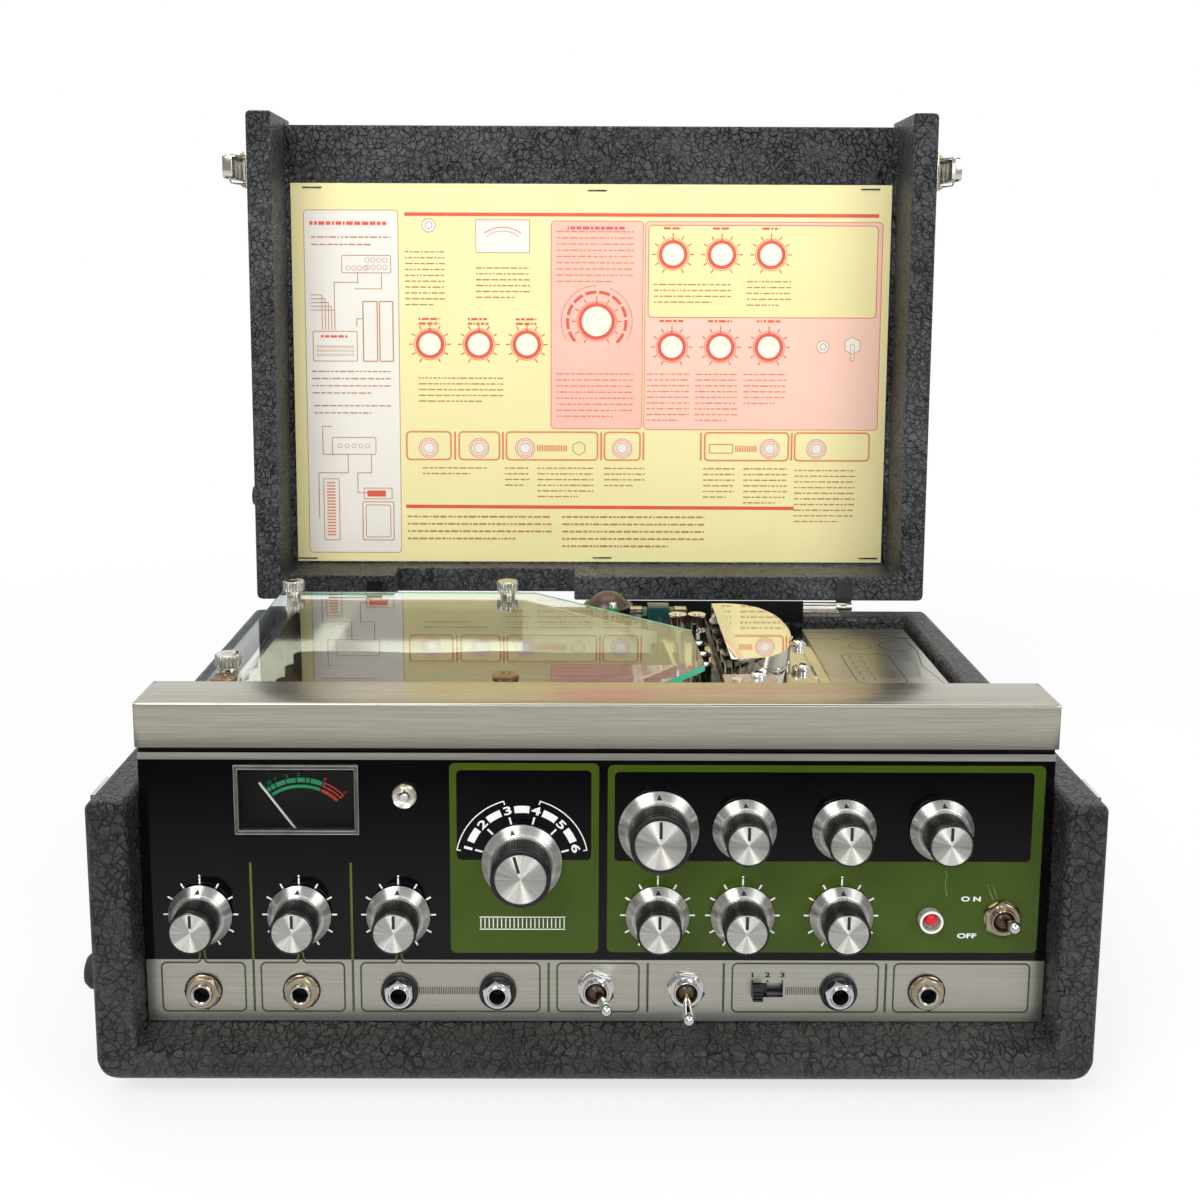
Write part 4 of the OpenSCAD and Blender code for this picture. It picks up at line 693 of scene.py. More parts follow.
for mat, nodes in {
    "rubber": "rubber_feet lid_feet pinch_roller drive_belt",
    "nickel": "handle_caps latch_catches hinge_leaves lid_hinges latch_left latch_right jack_sockets "
              "toggle_switches thumb_nuts",
    "chrome": "peak_lamp lever_power lever_input lever_output tape_guides capstan",
    "steel": "chassis slide_switch control_pots head_block pinch_arm reverb_tank",
    "plastic": "cord_gland meter_case slide_button",
    "deck": "deck_plate head_cover",
    "strap": "strap_handle", "panel": "front_panel", "bar": "top_bar", "clear": "meter_window",
    "needle": "meter_needle", "red_lens": "pilot_lamp", "tank": "tape_tank", "glass": "glass_cover",
    "tape": "tape_loop", "tape_head": "tape_heads", "motor": "drive_motor", "brass": "motor_pulley",
    "brown": "deck_fittings", "edge": "diagram_plate", "board": "circuit_board",
    "core": "power_transformer", "card": "instruction_card",
}.items():
    for node in nodes.split():
        mesh = frame["nodes"][node].data
        mesh.materials.clear()
        mesh.materials.append(M[mat])

# ---------------------------------------------------------------- knobs

KNURL = 0.42


def knob(node):
    """Bevelled skirt with a mark, black knurled grip with a smooth lip, spun cap with a pointer line."""
    control = node.replace("knob_", "")
    x, _, z = joint_place(control + "_turn")
    lo, hi = mm_box(node)
    skirt = (hi.x - lo.x) / 2
    grip, cap, lip, flutes = (12.5, 10.6, 2.4, 68) if skirt > 15 else (9.3, 8.35, 1.7, 52)
    gap, bore, neck, rim = 0.8, 3.06, grip + 0.75, skirt - 0.3
    seat, top = gap + 4.4, PANEL_Y - lo.y
    collar = top - lip
    s = Shape(node + "_dressed", on_panel(x, z - FOOT_H), control + "_control", "knob")
    s.lathe([(bore, gap), (rim, gap), (skirt, gap + 0.3), (skirt, gap + 0.9), (rim, gap + 1.2),
             (neck + 0.9, seat - 0.5), (neck + 0.5, seat - 0.4), (neck, seat), (grip - 0.6, seat)],
            "skirt", n=72)
    s.toothed(grip, flutes * 4,
              [(seat, 0.1, 1), (seat + 0.4, 0.1, 1), (collar - 0.5, -0.1, 1), (collar, -0.5, 0.2)],
              lambda k: KNURL if k % 4 < 2 else 0, "grip")
    s.lathe([(grip - 0.7, collar - 0.1), (grip - 0.1, collar), (grip, collar + 0.4), (grip - 0.05, top - 0.7),
             (grip - 0.3, top - 0.3), (cap + 0.35, top - 0.05), (cap + 0.05, top - 0.12), (cap, top - 0.4)],
            "gloss_black", n=96)
    s.lathe([(cap, top - 0.4), (cap - 0.2, top - 0.22), (cap * 0.5, top - 0.2), (0, top - 0.2)], "cap", n=96)
    lean = spin(15 if control == "mode" else 0, "Z")
    s.block(-0.62, 0.62, cap * 0.27, cap - 0.5, top - 0.3, top - 0.1, "ink", lean)
    inner, outer = neck + 1.0, skirt - 0.8
    fall = (seat - gap - 1.7) / (rim - neck - 0.9)
    low, high = (gap + 1.3 + (rim - r) * fall for r in (outer, inner))
    s.add([(1.15, inner, high), (0, outer, low), (-1.15, inner, high)], [(0, 1, 2)], "ink", lean)
    s.lathe([(bore, gap), (bore, top - 3.0), (0, top - 3.0)], "steel", n=32)
    s.done(node, smooth=32, weld=True)


for node in [n for n in frame["nodes"] if n.startswith("knob_")]:
    knob(node)

# ---------------------------------------------------------------- the bar over the panel

BAR_T, BAR_SOFT, BAR_CAP = 2.5, 0.9, 3
BAR_LOW, BAR_TOP, BAR_END = BAR_HI.z - 18.9, BAR_HI.z, BAR_HI.x
BRACKET_X = BAR_END * 0.72
BAND_LO, BAND_HI, EDGE_LO, EDGE_HI = 20.0, 47.7, 136.0, 139.0

outside = [(BAR_LO.y, BAR_LOW)]
for y, s, turns in ((BAR_LO.y, -1, (90, 60, 30, 0)), (BAR_HI.y, 1, (0, 30, 60, 90))):
    for a in turns:
        outside.append((y + s * BAR_SOFT * (sin(radians(a)) - 1), BAR_TOP - BAR_SOFT * (1 - cos(radians(a)))))
outside.append((BAR_HI.y, BAR_LOW))
inside = [(BAR_HI.y - BAR_T, BAR_LOW), (BAR_HI.y - BAR_T, BAR_TOP - BAR_T),
          (BAR_LO.y + BAR_T, BAR_TOP - BAR_T), (BAR_LO.y + BAR_T, BAR_LOW)]
bar = Shape("bar", CASE, "case", "aluminium")
along_x(bar, outside + inside, -BAR_END + BAR_CAP, BAR_END - BAR_CAP, "bar")
for side in (-1, 1):
    made = along_x(bar, outside, side * (BAR_END - BAR_CAP), side * BAR_END, "bar")
    bar.bevel([made[1]], 0.5)
    bar.block(side * BRACKET_X - 10, side * BRACKET_X + 10, PANEL_Y + 6, BAR_HI.y - BAR_T,
              FOOT_H + EDGE_HI, BAR_TOP - BAR_T, "steel")
bar.block(-BAR_END, BAR_END, BAR_HI.y - BAR_T, BAR_HI.y, DECK_Z, BAR_LOW, "bar")
bar.done("top_bar", smooth=50)

groove = Shape("groove", CASE, "case", "black_plastic")
groove.block(-BAR_END, BAR_END, PANEL_Y + 1.4, PANEL_Y + 3, FOOT_H + 138.9, BAR_LOW + 1.2, "dark")
groove.done()

# ---------------------------------------------------------------- print on the panel

PRINT = 0.05
TOP_PRINT = 3 * PRINT
HALF = mm_box("front_panel")[1].x
COL_1, COL_2, COL_3, COL_4, COL_5, COL_6 = -166.01, -124.51, -83.0, -41.5, 102.93, 140.28
ROW_H = 67.97
SELECTOR = (-31.13, 91.6)

panel_print = Shape("panel_print", on_panel(0, 0, PRINT), "case", "panel_print")
for box, r, mat, layer in (
        ((-61.2, 0.9, 50.9, 134.7), 2.4, "green", 1), ((-58.3, -2.3, 92.4, 131.6), 2.0, "panel", 2),
        ((4.5, 186, 51.3, 134), 2.4, "green", 1), ((7.4, 181.4, 92, 131), 2.0, "panel", 2)):
    panel_print.ink(round_box(*box, r), mat, layer * PRINT)
for x in (-144.6, -102.7):
    panel_print.stroke([(x, 91), (x, BAND_HI)], 1.0, "line_green", PRINT)
for x in (COL_1, COL_2, COL_3):
    for s in (-1, 1):
        panel_print.stroke([(x + s, 58), (x + s, 49.2), (x + s * 1.6, BAND_HI)], 0.7, "line_green", PRINT)
for x in (COL_1, COL_2, COL_3, 25.73, 61.42, COL_5):
    for a in range(-150, 151, 30):
        tick(panel_print, x, ROW_H, a, 13.4, 15.7 if a else 16.3, 0.72, "white", TOP_PRINT)
    panel_print.ink(ring(0.45, 12, cx=x, cy=ROW_H + 17.1), "white", TOP_PRINT)

# selector scale: ticks, numerals in a broken band, and brackets
for k in range(6):
    a = -75 + 30 * k
    tick(panel_print, *SELECTOR, a, 17.0, 20.2, 0.8, "white", TOP_PRINT)
    at = move(*Vector(SELECTOR) + heading(a) * 23.0) @ spin(-a, "Z")
    panel_print.letters(str(k + 1), 0, 0, 4.9, "white", TOP_PRINT, at, wide=1.6, bold=0.11)
    if k < 5:
        panel_print.ink(sector(21.5, 24.6, a + 7.2, a + 22.8, 8, *SELECTOR), "white", TOP_PRINT)
for s in (-1, 1):
    first, last = (Vector(SELECTOR) + heading(s * a) * 26 for a in (16, 79))
    path = [first, *ring(27.6, 16, 90 - s * 16, 90 - s * 79, *SELECTOR), last]
    panel_print.stroke(path, 0.45, "white", TOP_PRINT)

# plain ladder scale under the selector
for k in range(21):
    x = -48.5 + 35 * k / 20
    panel_print.stroke([(x, 62.2), (x, 66.4)], 0.4, "white", TOP_PRINT)
for h in (61.6, 67.0):
    panel_print.stroke([(-49, h), (-13, h)], 0.4, "white", TOP_PRINT)

panel_print.letters("O N", 157.4, 75.4, 2.9, "white", TOP_PRINT, wide=1.55, bold=0.09)
panel_print.letters("OFF", 156.2, 58.9, 2.9, "white", TOP_PRINT, wide=1.6, bold=0.09)
panel_print.stroke([(145.9, 88.2), (146.9, 86.2), (146.2, 83.0), (147.1, 76.5)], 0.16, "scratch", TOP_PRINT)
panel_print.done()


def plate_with_holes(shape, x0, x1, h0, h1, t, holes, mat):
    """A flat strip with round holes: one cell for each hole, and plain blocks between them."""
    x = x0
    for cx, cy, r in holes:
        a, b = cx - r - 3, cx + r + 3
        shape.block(x, a, h0, h1, 0, t, mat)
        corners = [atan2(v - cy, u - cx) for u in (a, b) for v in (h0, h1)]
        angles = sorted({round(g, 5) for g in corners + [TAU * k / 40 - pi for k in range(40)]})
        inner, outer = [], []
        for g in angles:
            c, s = cos(g), sin(g)
            reach = min(((b if c > 0 else a) - cx) / c if abs(c) > 1e-6 else 1e9,
                        ((h1 if s > 0 else h0) - cy) / s if abs(s) > 1e-6 else 1e9)
            inner.append((cx + r * c, cy + r * s, t))
            outer.append((cx + reach * c, cy + reach * s, t))
        n = len(angles)
        shape.add(inner + outer, [(k, n + k, n + (k + 1) % n, (k + 1) % n) for k in range(n)], mat)
        x = b
    shape.block(x, x1, h0, h1, 0, t, mat)


STRIP_T, JACK_H, JACK_R = 0.12, 33.64, 5.0
STRIP_INK = STRIP_T + 0.04
SLOT_X0, SLOT_X1 = 65.9, 79.4
strip = Shape("panel_strip", on_panel(0, 0), "case", "panel_print")
for x0, x1, columns in ((-HALF, SLOT_X0, (COL_1, COL_2, COL_3, COL_4)), (SLOT_X1, HALF, (COL_5, COL_6))):
    plate_with_holes(strip, x0, x1, BAND_LO, BAND_HI, STRIP_T, [(x, JACK_H, JACK_R) for x in columns], "strip")
for h0, h1 in ((BAND_LO, 31.0), (37.5, BAND_HI)):
    strip.block(SLOT_X0, SLOT_X1, h0, h1, 0, STRIP_T, "strip")
strip.block(-HALF, HALF, EDGE_LO, EDGE_HI, 0, STRIP_T, "edge")

FRAME_LO, FRAME_HI = 24.3, 46.3
MOUTH = [(1.0, 47.6), (1.2, 46.9), (2.2, FRAME_HI)]
for x0, x1, funnel in ((-183.4, -148.2, COL_1), (-141.4, -106.3, COL_2), (-99.3, -23.7, COL_3),
                       (-16.4, 18.2, None), (57.8, 119.6, None), (126.2, 183.6, None)):
    box = round_box(x0, x1, FRAME_LO, FRAME_HI, 2.2)
    if funnel is None:
        strip.stroke(box, 0.75, "line_dark", STRIP_INK, closed=True)
    else:
        # the outline starts at the left end of its top edge and stops at the right end
        left = [(funnel - w, h) for w, h in MOUTH]
        right = [(funnel + w, h) for w, h in MOUTH[::-1]]
        strip.stroke(left + box[14:] + box[:14] + right, 0.75, "line_dark", STRIP_INK)
for x in (-144.6, -102.7, -20.0, 21.9, 54.1, 122.8):
    strip.stroke([(x, 47.6 if x < -100 else 46.4), (x, 24.2)], 1.0, "line_dark", STRIP_INK)
for start, pitch, count, h0, h1 in ((-74.6, 0.77, 33, 32.1, 35.5), (80.6, 0.79, 19, 32.3, 35.8)):
    for k in range(count):
        strip.stroke([(start + pitch * k, h0), (start + pitch * k, h1)], 0.34, "ink", STRIP_INK)
for k, x in enumerate((66.3, 72.7, 79.0)):
    strip.ink(ring(0.5, 12, cx=x, cy=38.3), "ink", STRIP_INK)
    strip.letters(str(k + 1), x, 41.0, 3.0, "ink", STRIP_INK, wide=1.5, bold=0.1)
strip.done(smooth=20)

# ---------------------------------------------------------------- jacks, switches and lamps

BORE_END = -19.6
jacks = Shape("jacks", on_panel(0, JACK_H), "case", "jack")


def socket(x, bore):
    """Body of a jack behind the panel, with the dark end of its bore."""
    at = move(x, 0)
    jacks.block(-8, 8, -9, 9, -24, -2, "plastic", at)
    jacks.lathe([(0, BORE_END), (bore, BORE_END)], "dark", at, n=40)
    return at


for i, x in enumerate((COL_1, COL_2, COL_6)):
    at = socket(x, 3.1)
    jacks.lathe([(3.1, BORE_END), (3.1, 3.2), (3.25, 4.1), (3.7, 4.4), (4.3, 4.35), (4.6, 4.0), (4.6, 2.4)],
                "jack_metal", at, mats=["dark"] * 2 + ["nickel"] * 3 + ["jack_metal"])
    jacks.lathe([(4.9, 0), (8.0, 0), (8.0, 0.5), (4.9, 0.5)], "gloss_black", at, n=56)
    jacks.lathe([(4.5, 0.5), (7.3, 0.5), (7.5, 0.7), (7.5, 1.1), (7.2, 1.3), (4.5, 1.3)],
                "jack_metal", at, n=56)
    jacks.nut(7.7, 4.5, 1.2, 3.2, "jack_metal", at, 20 + 23 * i)
for i, x in enumerate((COL_3, COL_4, COL_5)):
    at = socket(x, 3.3)
    jacks.lathe([(3.3, BORE_END), (3.3, 4.6), (3.5, 4.9), (4.0, 5.0), (4.4, 4.7), (4.5, 3.8)],
                "chrome", at, mats=["dark"] * 2 + ["chrome"] * 3)
    jacks.lathe([(4.9, 0), (7.6, 0), (7.9, 0.4), (7.9, 1.5), (7.5, 2.2), (6.6, 2.5), (5.8, 2.0), (4.9, 1.7)],
                "gloss_black", at, n=64)
    jacks.nut(6.6, 4.3, 1.7, 4.5, "chrome", at, 3 + 5 * i)
jacks.done("jack_sockets", smooth=28)

BALL = [(0, -2.6)] + arc(4.1, range(-38, 55, 13))
BAT = [(1.75, 3.6), (1.65, 4.4), (1.65, 6.5), (1.85, 9.0), (2.2, 12.2), (2.35, 14.2)]
BAT += arc(2.6, range(-20, 91, 11), up=15.8)
toggles = Shape("toggle_bushings", on_panel(0, 0), "case", "nickel")
for name, x, h, metal, turn, tilt in (("input", 0.0, 34.74, "chrome", 10, (15, "Y")),
                                      ("output", 38.18, 34.74, "chrome", 22, (15, "X")),
                                      ("power", 170.58, 67.17, "jack_metal", 4, (-15, "X"))):
    at = move(x, h)
    toggles.block(-6.5, 6.5, -10, 10, -20, -2, "plastic", at)
    toggles.lathe([(5.5, 0), (7.4, 0), (7.5, 0.4), (5.5, 0.6)], metal, at)
    toggles.nut(8.1, 5.4, 0.5, 2.8, metal, at, turn)
    toggles.lathe([(4.2, 0), (4.2, 2.9), (4.35, 3.9), (4.7, 4.4), (5.2, 4.4), (5.45, 4.0), (5.45, 2.4)],
                  metal, at, mats=["brown", "brown", "brass", metal, metal, metal])
    lever = Shape("bat_" + name, on_panel(x, h) @ move(0, 0, 1) @ spin(*tilt), name + "_lever", "nickel")
    lever.lathe(BALL + BAT, "chrome", mats=["brown"] * len(BALL) + ["chrome"] * (len(BAT) - 1))
    lever.done("lever_" + name, smooth=50, weld=True)
toggles.done("toggle_switches", smooth=28)

slider = Shape("slider", on_panel(68.23, 34.24), "level_slider", "black_plastic")
slider.block(-4.7, 4.7, -4.2, 4.2, -4.3, -2.3, "plastic")
slider.block(-2.2, 2.2, -2.85, 2.85, -3, 3.4, "gloss_black", bevel=0.3)
for k in range(4):
    h = -2.7 + 1.45 * k
    slider.block(-2.2, 2.2, h, h + 0.95, 3.0, 5.0, "gloss_black", bevel=0.3)
slider.done("slide_button", smooth=30)

peak = Shape("peak_lens", on_panel(-79.7, 120.7), "case", "lamp")
peak.lathe([(0, -14), (4, -14), (4, 0), (5.3, 0), (5.35, 0.5), (5.1, 1.2), (4.7, 1.4), (4.3, 1.0)],
           "jack_metal", n=56)
peak.lathe([(4.7, 1.0), (4.75, 2.2), (4.4, 3.6), (3.4, 4.7), (1.8, 5.3), (0, 5.45)], "clear", n=56)
peak.lathe([(4.2, 0.9), (2.4, 0.4), (1.5, 2.2), (0, 2.8)], "nickel", n=9)
peak.done("peak_lamp")

pilot = Shape("pilot_lens", on_panel(COL_6, 66.67), "case", "lamp_red")
pilot.lathe([(0, -16), (4, -16), (4, 0), (5, 0), (5.0, 3.5), (4.85, 3.85), (4.5, 4.0), (4.1, 3.9), (3.9, 3.5),
             (3.85, 0.7)], "frost", n=56, mats=["dark"] * 3 + ["tube"] + ["frost"] * 4 + ["tube"])
pilot.lathe([(3.85, 0.7), (1.5, 0.5), (0, 0.5)], "tube", n=18)
pilot.lathe([(2.75, 0.5), (2.75, 1.9), (2.5, 2.7), (1.8, 3.3), (0.9, 3.6), (0, 3.65)],
            "red_lens", move(0, 0.85), n=40)
pilot.done("pilot_lamp", smooth=40)

# ---------------------------------------------------------------- meter

METER = (COL_2, 118.8)
FACE = -9.0
FACE_INK = FACE + 0.08
PIVOT = (0.0, -19.2)
meter = Shape("meter_scale", on_panel(*METER), "case", "panel_print")
meter.block(-25.5, 25.5, -14.6, 14.6, FACE - 0.5, FACE, "meter_face")


def band(r0, r1, a0, a1, mat):
    meter.ink(sector(r0, r1, a0, a1, max(2, int(abs(a1 - a0) / 2)), *PIVOT), mat, FACE_INK)


cuts = [-37, -32, -26.5, -15, -4.3, 5, 9.5, 22.6]
for a0, a1 in zip(cuts, cuts[1:]):
    band(22.9, 24.9, a0 + 0.6, a1 - 0.6, "meter_green")
band(20.5, 21.8, -35, 22.6, "meter_green")
band(20.5, 21.8, 24, 46, "meter_red")
meter.stroke(sector(23.1, 24.7, 24, 46, 10, *PIVOT), 0.6, "meter_red", FACE_INK, closed=True)
for text, a in (("20", -38), ("10", -31), ("7", -24), ("5", -13), ("3", -2), ("0", 23), ("3", 45)):
    at = move(*Vector(PIVOT) + heading(a) * 26.2) @ spin(-a, "Z")
    meter.letters(text, 0, 0, 2.0, "meter_green" if a < 20 else "meter_red", FACE_INK, at, wide=1.25)
meter.done()

window = Shape("meter_frame", on_panel(*METER), "case", "clear")
w, h, t = 25.8, 15.0, 1.5
for x0, x1, h0, h1 in ((-w, w, h - t, h), (-w, w, -h, -h + t),
                       (-w, -w + t, -h + t, h - t), (w - t, w, -h + t, h - t)):
    window.block(x0, x1, h0, h1, -2, 1.1, "frame_clear", bevel=0.2)
for inset in (0.15, t + 0.1):
    a, b = w - inset, h - inset
    window.tube([(a, b, 1.2), (-a, b, 1.2), (-a, -b, 1.2), (a, -b, 1.2)], 0.13, "frame_line", n=8, closed=True)
window.block(-w + t, w - t, -h + t, h - t, 0.5, 1.0, "pane")
window.done("meter_window", smooth=30)

# ---------------------------------------------------------------- card in the lid

CARD = LID @ move(0, 282, 173) @ spin(180, "X")
L1, L2, L3 = 0.06, 0.12, 0.18
BIG_DIAL = (3.7, 155.9)
TOP_DIALS, LEFT_DIALS, LOW_DIALS = (51.9, 82.8, 114.0), (-102.6, -71.4, -40.8), (51.7, 82.7, 113.7)
card = Shape("card_print", CARD, "lid", "card")
rng = random.Random(7)


def outline(x0, x1, v0, v1, w=0.5, mat="print_soft", z=L2, r=2.5):
    card.stroke(round_box(x0, x1, v0, v1, r), w, mat, z, closed=True)


def field(box, fill, w, edge, z=L1, r=3, edge_r=2.5):
    card.ink(round_box(*box, r), fill, z)
    outline(*box, w, edge, r=edge_r)


def hoop(x, v, r, w=0.3, mat="print_soft", n=12):
    card.stroke(ring(r, n, cx=x, cy=v), w, mat, L3, closed=True)


def disc(x, v, r, mat, z=L2, n=24):
    card.ink(ring(r, n, cx=x, cy=v), mat, z)


def hexagon(x, v, r):
    return ring(r, 6, 30, 390, x, v)


def patch(x0, x1, v0, v1, mat):
    card.ink([(x0, v0), (x1, v0), (x1, v1), (x0, v1)], mat, L3)


def lines_of_print(x0, x1, v, count, mat="print_soft", pitch=3.7, size=0.8, short=0.75):
    """Rows of small dashes that stand for lines of small print."""
    for k in range(count):
        x, stop = x0, x1 if k < count - 1 else x0 + (x1 - x0) * short
        while x < stop - 1.2:
            step = min(rng.uniform(1.8, 6.0), stop - x)
            patch(x, x + step - 0.9, v - pitch * k, v - pitch * k + size, mat)
            x += step


def dial_print(x, v, r=8.3):
    hoop(x, v, r + 1.7, 0.4, "card_red", 40)
    disc(x, v, r + 0.9, "card_red", L2 + 0.05, 40)
    disc(x, v, r - 1.4, "card_cream", L2 + 0.10, 40)
    for a in range(-150, 151, 30):
        tick(card, x, v, a, r + 2.4, r + 5.0, 0.7, "card_red", L3)
    patch(x - 0.5, x + 0.5, v + r * 0.35, v + r + 2.0, "card_red")


field((-181.6, -122.2, 5.8, 225.3), "card_white", 0.4, "print_soft")
card.stroke([(-118, 222.9), (181.8, 222.9)], 2.2, "card_red", L2)
card.stroke([(-119, 36.2), (132, 35.6)], 2.2, "card_red", L2)
field((-25.3, 33.0, 87.1, 219.0), "card_pink", 0.4, "card_red")
field((34.3, 184.5, 86.7, 218.8), "card_pink2", 0.4, "card_red")
field((36.4, 181.6, 158.6, 216.6), "card_field", 0.5, "card_red", L1 + 0.03)
for columns, v in ((LEFT_DIALS, 141.0), (TOP_DIALS, 198.3), (LOW_DIALS, 139.8)):
    for x in columns:
        dial_print(x, v)
dial_print(*BIG_DIAL, 10.8)
for k in range(10):
    a = -135 + 27.5 * k
    card.ink(sector(17.6, 19.6, a + 2, a + 24, 6, *BIG_DIAL), "card_red", L2)
for a0, a1 in ((210, 90), (70, -30)):
    card.stroke(ring(22.6, 24, a0, a1, *BIG_DIAL), 0.4, "card_red", L2)
for x, v, r in ((148.3, 140.2, 3.9), (-102.8, 216.0, 4.3)):
    disc(x, v, r, "card_white")
    hoop(x, v, r, 0.4, n=24)
    hoop(x, v, r * 0.5, 0.4, n=20)
card.ink(hexagon(167.2, 141, 5.6), "card_white", L2)
card.stroke(hexagon(167.2, 141, 5.6), 0.4, "print_soft", L3, closed=True)
card.stroke([(167.2, 141), (167.2, 134)], 2.2, "card_white", L3)
outline(166.0, 168.4, 131, 142, 0.35, z=L3, r=1.1)
field((-73, -39.1, 199, 219.6), "card_white", 0.4, "print_soft", r=0.5, edge_r=0.5)
card.stroke(ring(19, 14, 128, 52, -56, 196), 0.5, "card_red", L2)
card.stroke(ring(16.6, 14, 128, 52, -56, 196), 0.4, "print_soft", L2)

# boxes of the jacks: each has a jack, some have a ladder from a to b, a nut or a slot
for x0, x1, jack, ladder in (
        (-118.1, -89.7, -103.9, None), (-84.4, -58.5, -71.45, None), (-54.0, 4.7, -42.0, (-34.0, -13.3)),
        (9.1, 32.0, 20.55, None), (73.7, 127.6, 115.6, (93.7, 108.6)), (131.7, 179.6, 145.7, None)):
    outline(x0, x1, 66.8, 84.8, 1.05, "card_orange")
    disc(jack, 74.4, 6.2, "card_white", n=28)
    for r in (6.2, 5.0, 3.4):
        hoop(jack, 74.4, r, 0.5, "card_orange", 28)
    if ladder:
        a, b = ladder
        for k in range(int((b - a) / 1.1)):
            card.stroke([(a + 1.1 * k, 72.4), (a + 1.1 * k, 76.4)], 0.45, "card_red", L3)
card.stroke(hexagon(-7.3, 74.4, 4.4), 0.4, "print_soft", L3, closed=True)
outline(76.7, 91.7, 71.6, 77.2, z=L3, r=0.5)
for x in (-87.0, -56.2, 7.0, 34.2, 71.2, 129.7):
    card.stroke([(x, 84.8), (x, 66.8)], 1.2, "card_orange", L2)

TITLE = {"mat": "card_red", "short": 1}
for style, blocks in (
        ({}, ((-118, -92, 199, 10), (-73, -38, 189, 6), (-110, -55, 119, 5))),
        ({"mat": "card_red_soft", "pitch": 3.9}, ((-22, 28, 212, 9), (-22, 28, 122, 8))),
        ({}, ((40, 90, 179, 4), (99, 128, 181, 5))),
        ({"mat": "card_red_soft"}, ((36, 64, 122, 9), (67, 95, 122, 9), (98, 126, 122, 6))),
        ({}, ((-108, -66, 61, 2), (-55, -38, 61, 4), (-34, 3, 61, 6), (9, 36, 61, 4), (73, 94, 61, 6),
              (99, 128, 61, 7), (132, 172, 60, 10))),
        ({"pitch": 4.8, "size": 1.1}, ((-118, -24, 29, 4), (-18, 75, 29, 5))),
        ({"size": 1.4, **TITLE}, [(x - 6, x + 6, 214.0, 1) for x in TOP_DIALS]),
        ({"size": 1.3, "pitch": 2.9, **TITLE}, [(x - 7, x + 7, 156.4, 2) for x in LEFT_DIALS]),
        ({"size": 1.4, **TITLE}, [(x - 8, x + 8, 155.6, 1) for x in LOW_DIALS]),
        ({"size": 1.8, **TITLE}, [(-15, 22, 213.8, 1)]),
        ({"size": 2.2, **TITLE}, [(-178, -128, 216, 1)]),
        ({"pitch": 4.6}, [(-177, -126, 208, 2)]),
        ({"size": 1.5, **TITLE}, [(-172, -154, 145, 1)]),
        ({"pitch": 4.6}, [(-178, -127, 123, 4), (-177, -127, 101, 2)])):
    for block in blocks:
        lines_of_print(*block, **style)

# left panel: small line drawings of a set-up
for box, w, r in (
        ((-158, -127, 186, 197), 0.5, 1), ((-145, -136, 130, 168), 0.7, 0.6),
        ((-134.5, -126, 130, 168), 0.7, 0.6), ((-177, -149, 130, 149), 0.5, 0.8),
        ((-166, -138, 70, 81), 0.5, 1), ((-172, -162, 14, 54), 0.5, 0.6), ((-146, -128, 41, 48), 0.5, 0.6),
        ((-147, -127, 14, 39), 0.6, 1.2), ((-145, -129, 16, 37), 0.5, 1.2)):
    outline(*box, w, r=r)
for x, v, r, pitch, count in ((-154, 189, 1.4, 3.6, 4), (-142, 194, 1.4, 3.8, 4), (-142, 189.4, 1.4, 3.8, 4),
                              (-161, 75.5, 1.3, 4.4, 5)):
    for k in range(count):
        hoop(x + pitch * k, v, r)
for j in range(3):
    for k in range(11):
        hoop(-174 + 2.2 * k, 134 + 2.6 * j, 0.7, 0.25, n=8)
for k in range(5):
    v = 172 - 2.4 * k
    card.stroke([(-178, v), (-171 + 2 * k, v), (-171 + 2 * k, 150)], 0.45, "print_soft", L3)
for path in ([(-148, 186), (-148, 180), (-163, 180), (-163, 150)], [(-133, 186), (-133, 176), (-150, 176)],
             [(-149, 152), (-149, 157), (-145, 157)], [(-166, 88), (-172, 88), (-172, 70), (-160, 70)],
             [(-156, 70), (-156, 58), (-175, 58), (-175, 28)],
             [(-141, 70), (-141, 58), (-150, 58), (-150, 45), (-144, 45)]):
    card.stroke(path, 0.5, "print_soft", L3)
for k in range(18):
    patch(-170, -164.5, 17 + 2 * k, 17.9 + 2 * k, "card_red_soft")
patch(-144, -132, 42.5, 46.5, "card_red")
card.done()

staples = Shape("staples", CARD, "lid", "steel")
for x, v in ((-176, 239.3), (3.6, 238.0), (175.8, 239.4), (-183, 2.0), (7.9, 2.8), (181, 2.9)):
    path = [(x - 5.9, v, 0.05), (x - 5.4, v, 0.5), (x + 5.4, v, 0.5), (x + 5.9, v, 0.05)]
    staples.tube(path, 0.42, "dark_steel", n=8)
staples.done(smooth=40)

# ---------------------------------------------------------------- glass, nuts and discs

GLASS_Z, TANK_Z = RIM_Z + 28, RIM_Z + 25
GLASS = [(-176, 52), (31, 52), (31, 72), (52, 98), (50, 156.5), (-32, 231.5), (-176, 231.5)]
glass = Shape("glass_top", CASE, "case", "glass")
n = len(GLASS)
made = glass.add([(x, y, z) for z in (TANK_Z, GLASS_Z) for x, y in GLASS], ends(2, n) + walls(2, n), "glass")
glass.paint(made[2:], "glass_edge")
glass.done("glass_cover", smooth=20)

FLUTE, FLUTES, NUT_R, NUT_Z = 0.5, 24, 6.0, GLASS_Z + 2.2
nuts = Shape("glass_nuts", CASE, "case", "nickel")


def post(at, foot):
    nuts.lathe([(0, foot), (4, foot), (4, TANK_Z), (2.5, TANK_Z), (2.5, GLASS_Z)], "nickel", at, n=32)


def over_glass(*profile):
    return [(r, GLASS_Z + h) for r, h in profile]


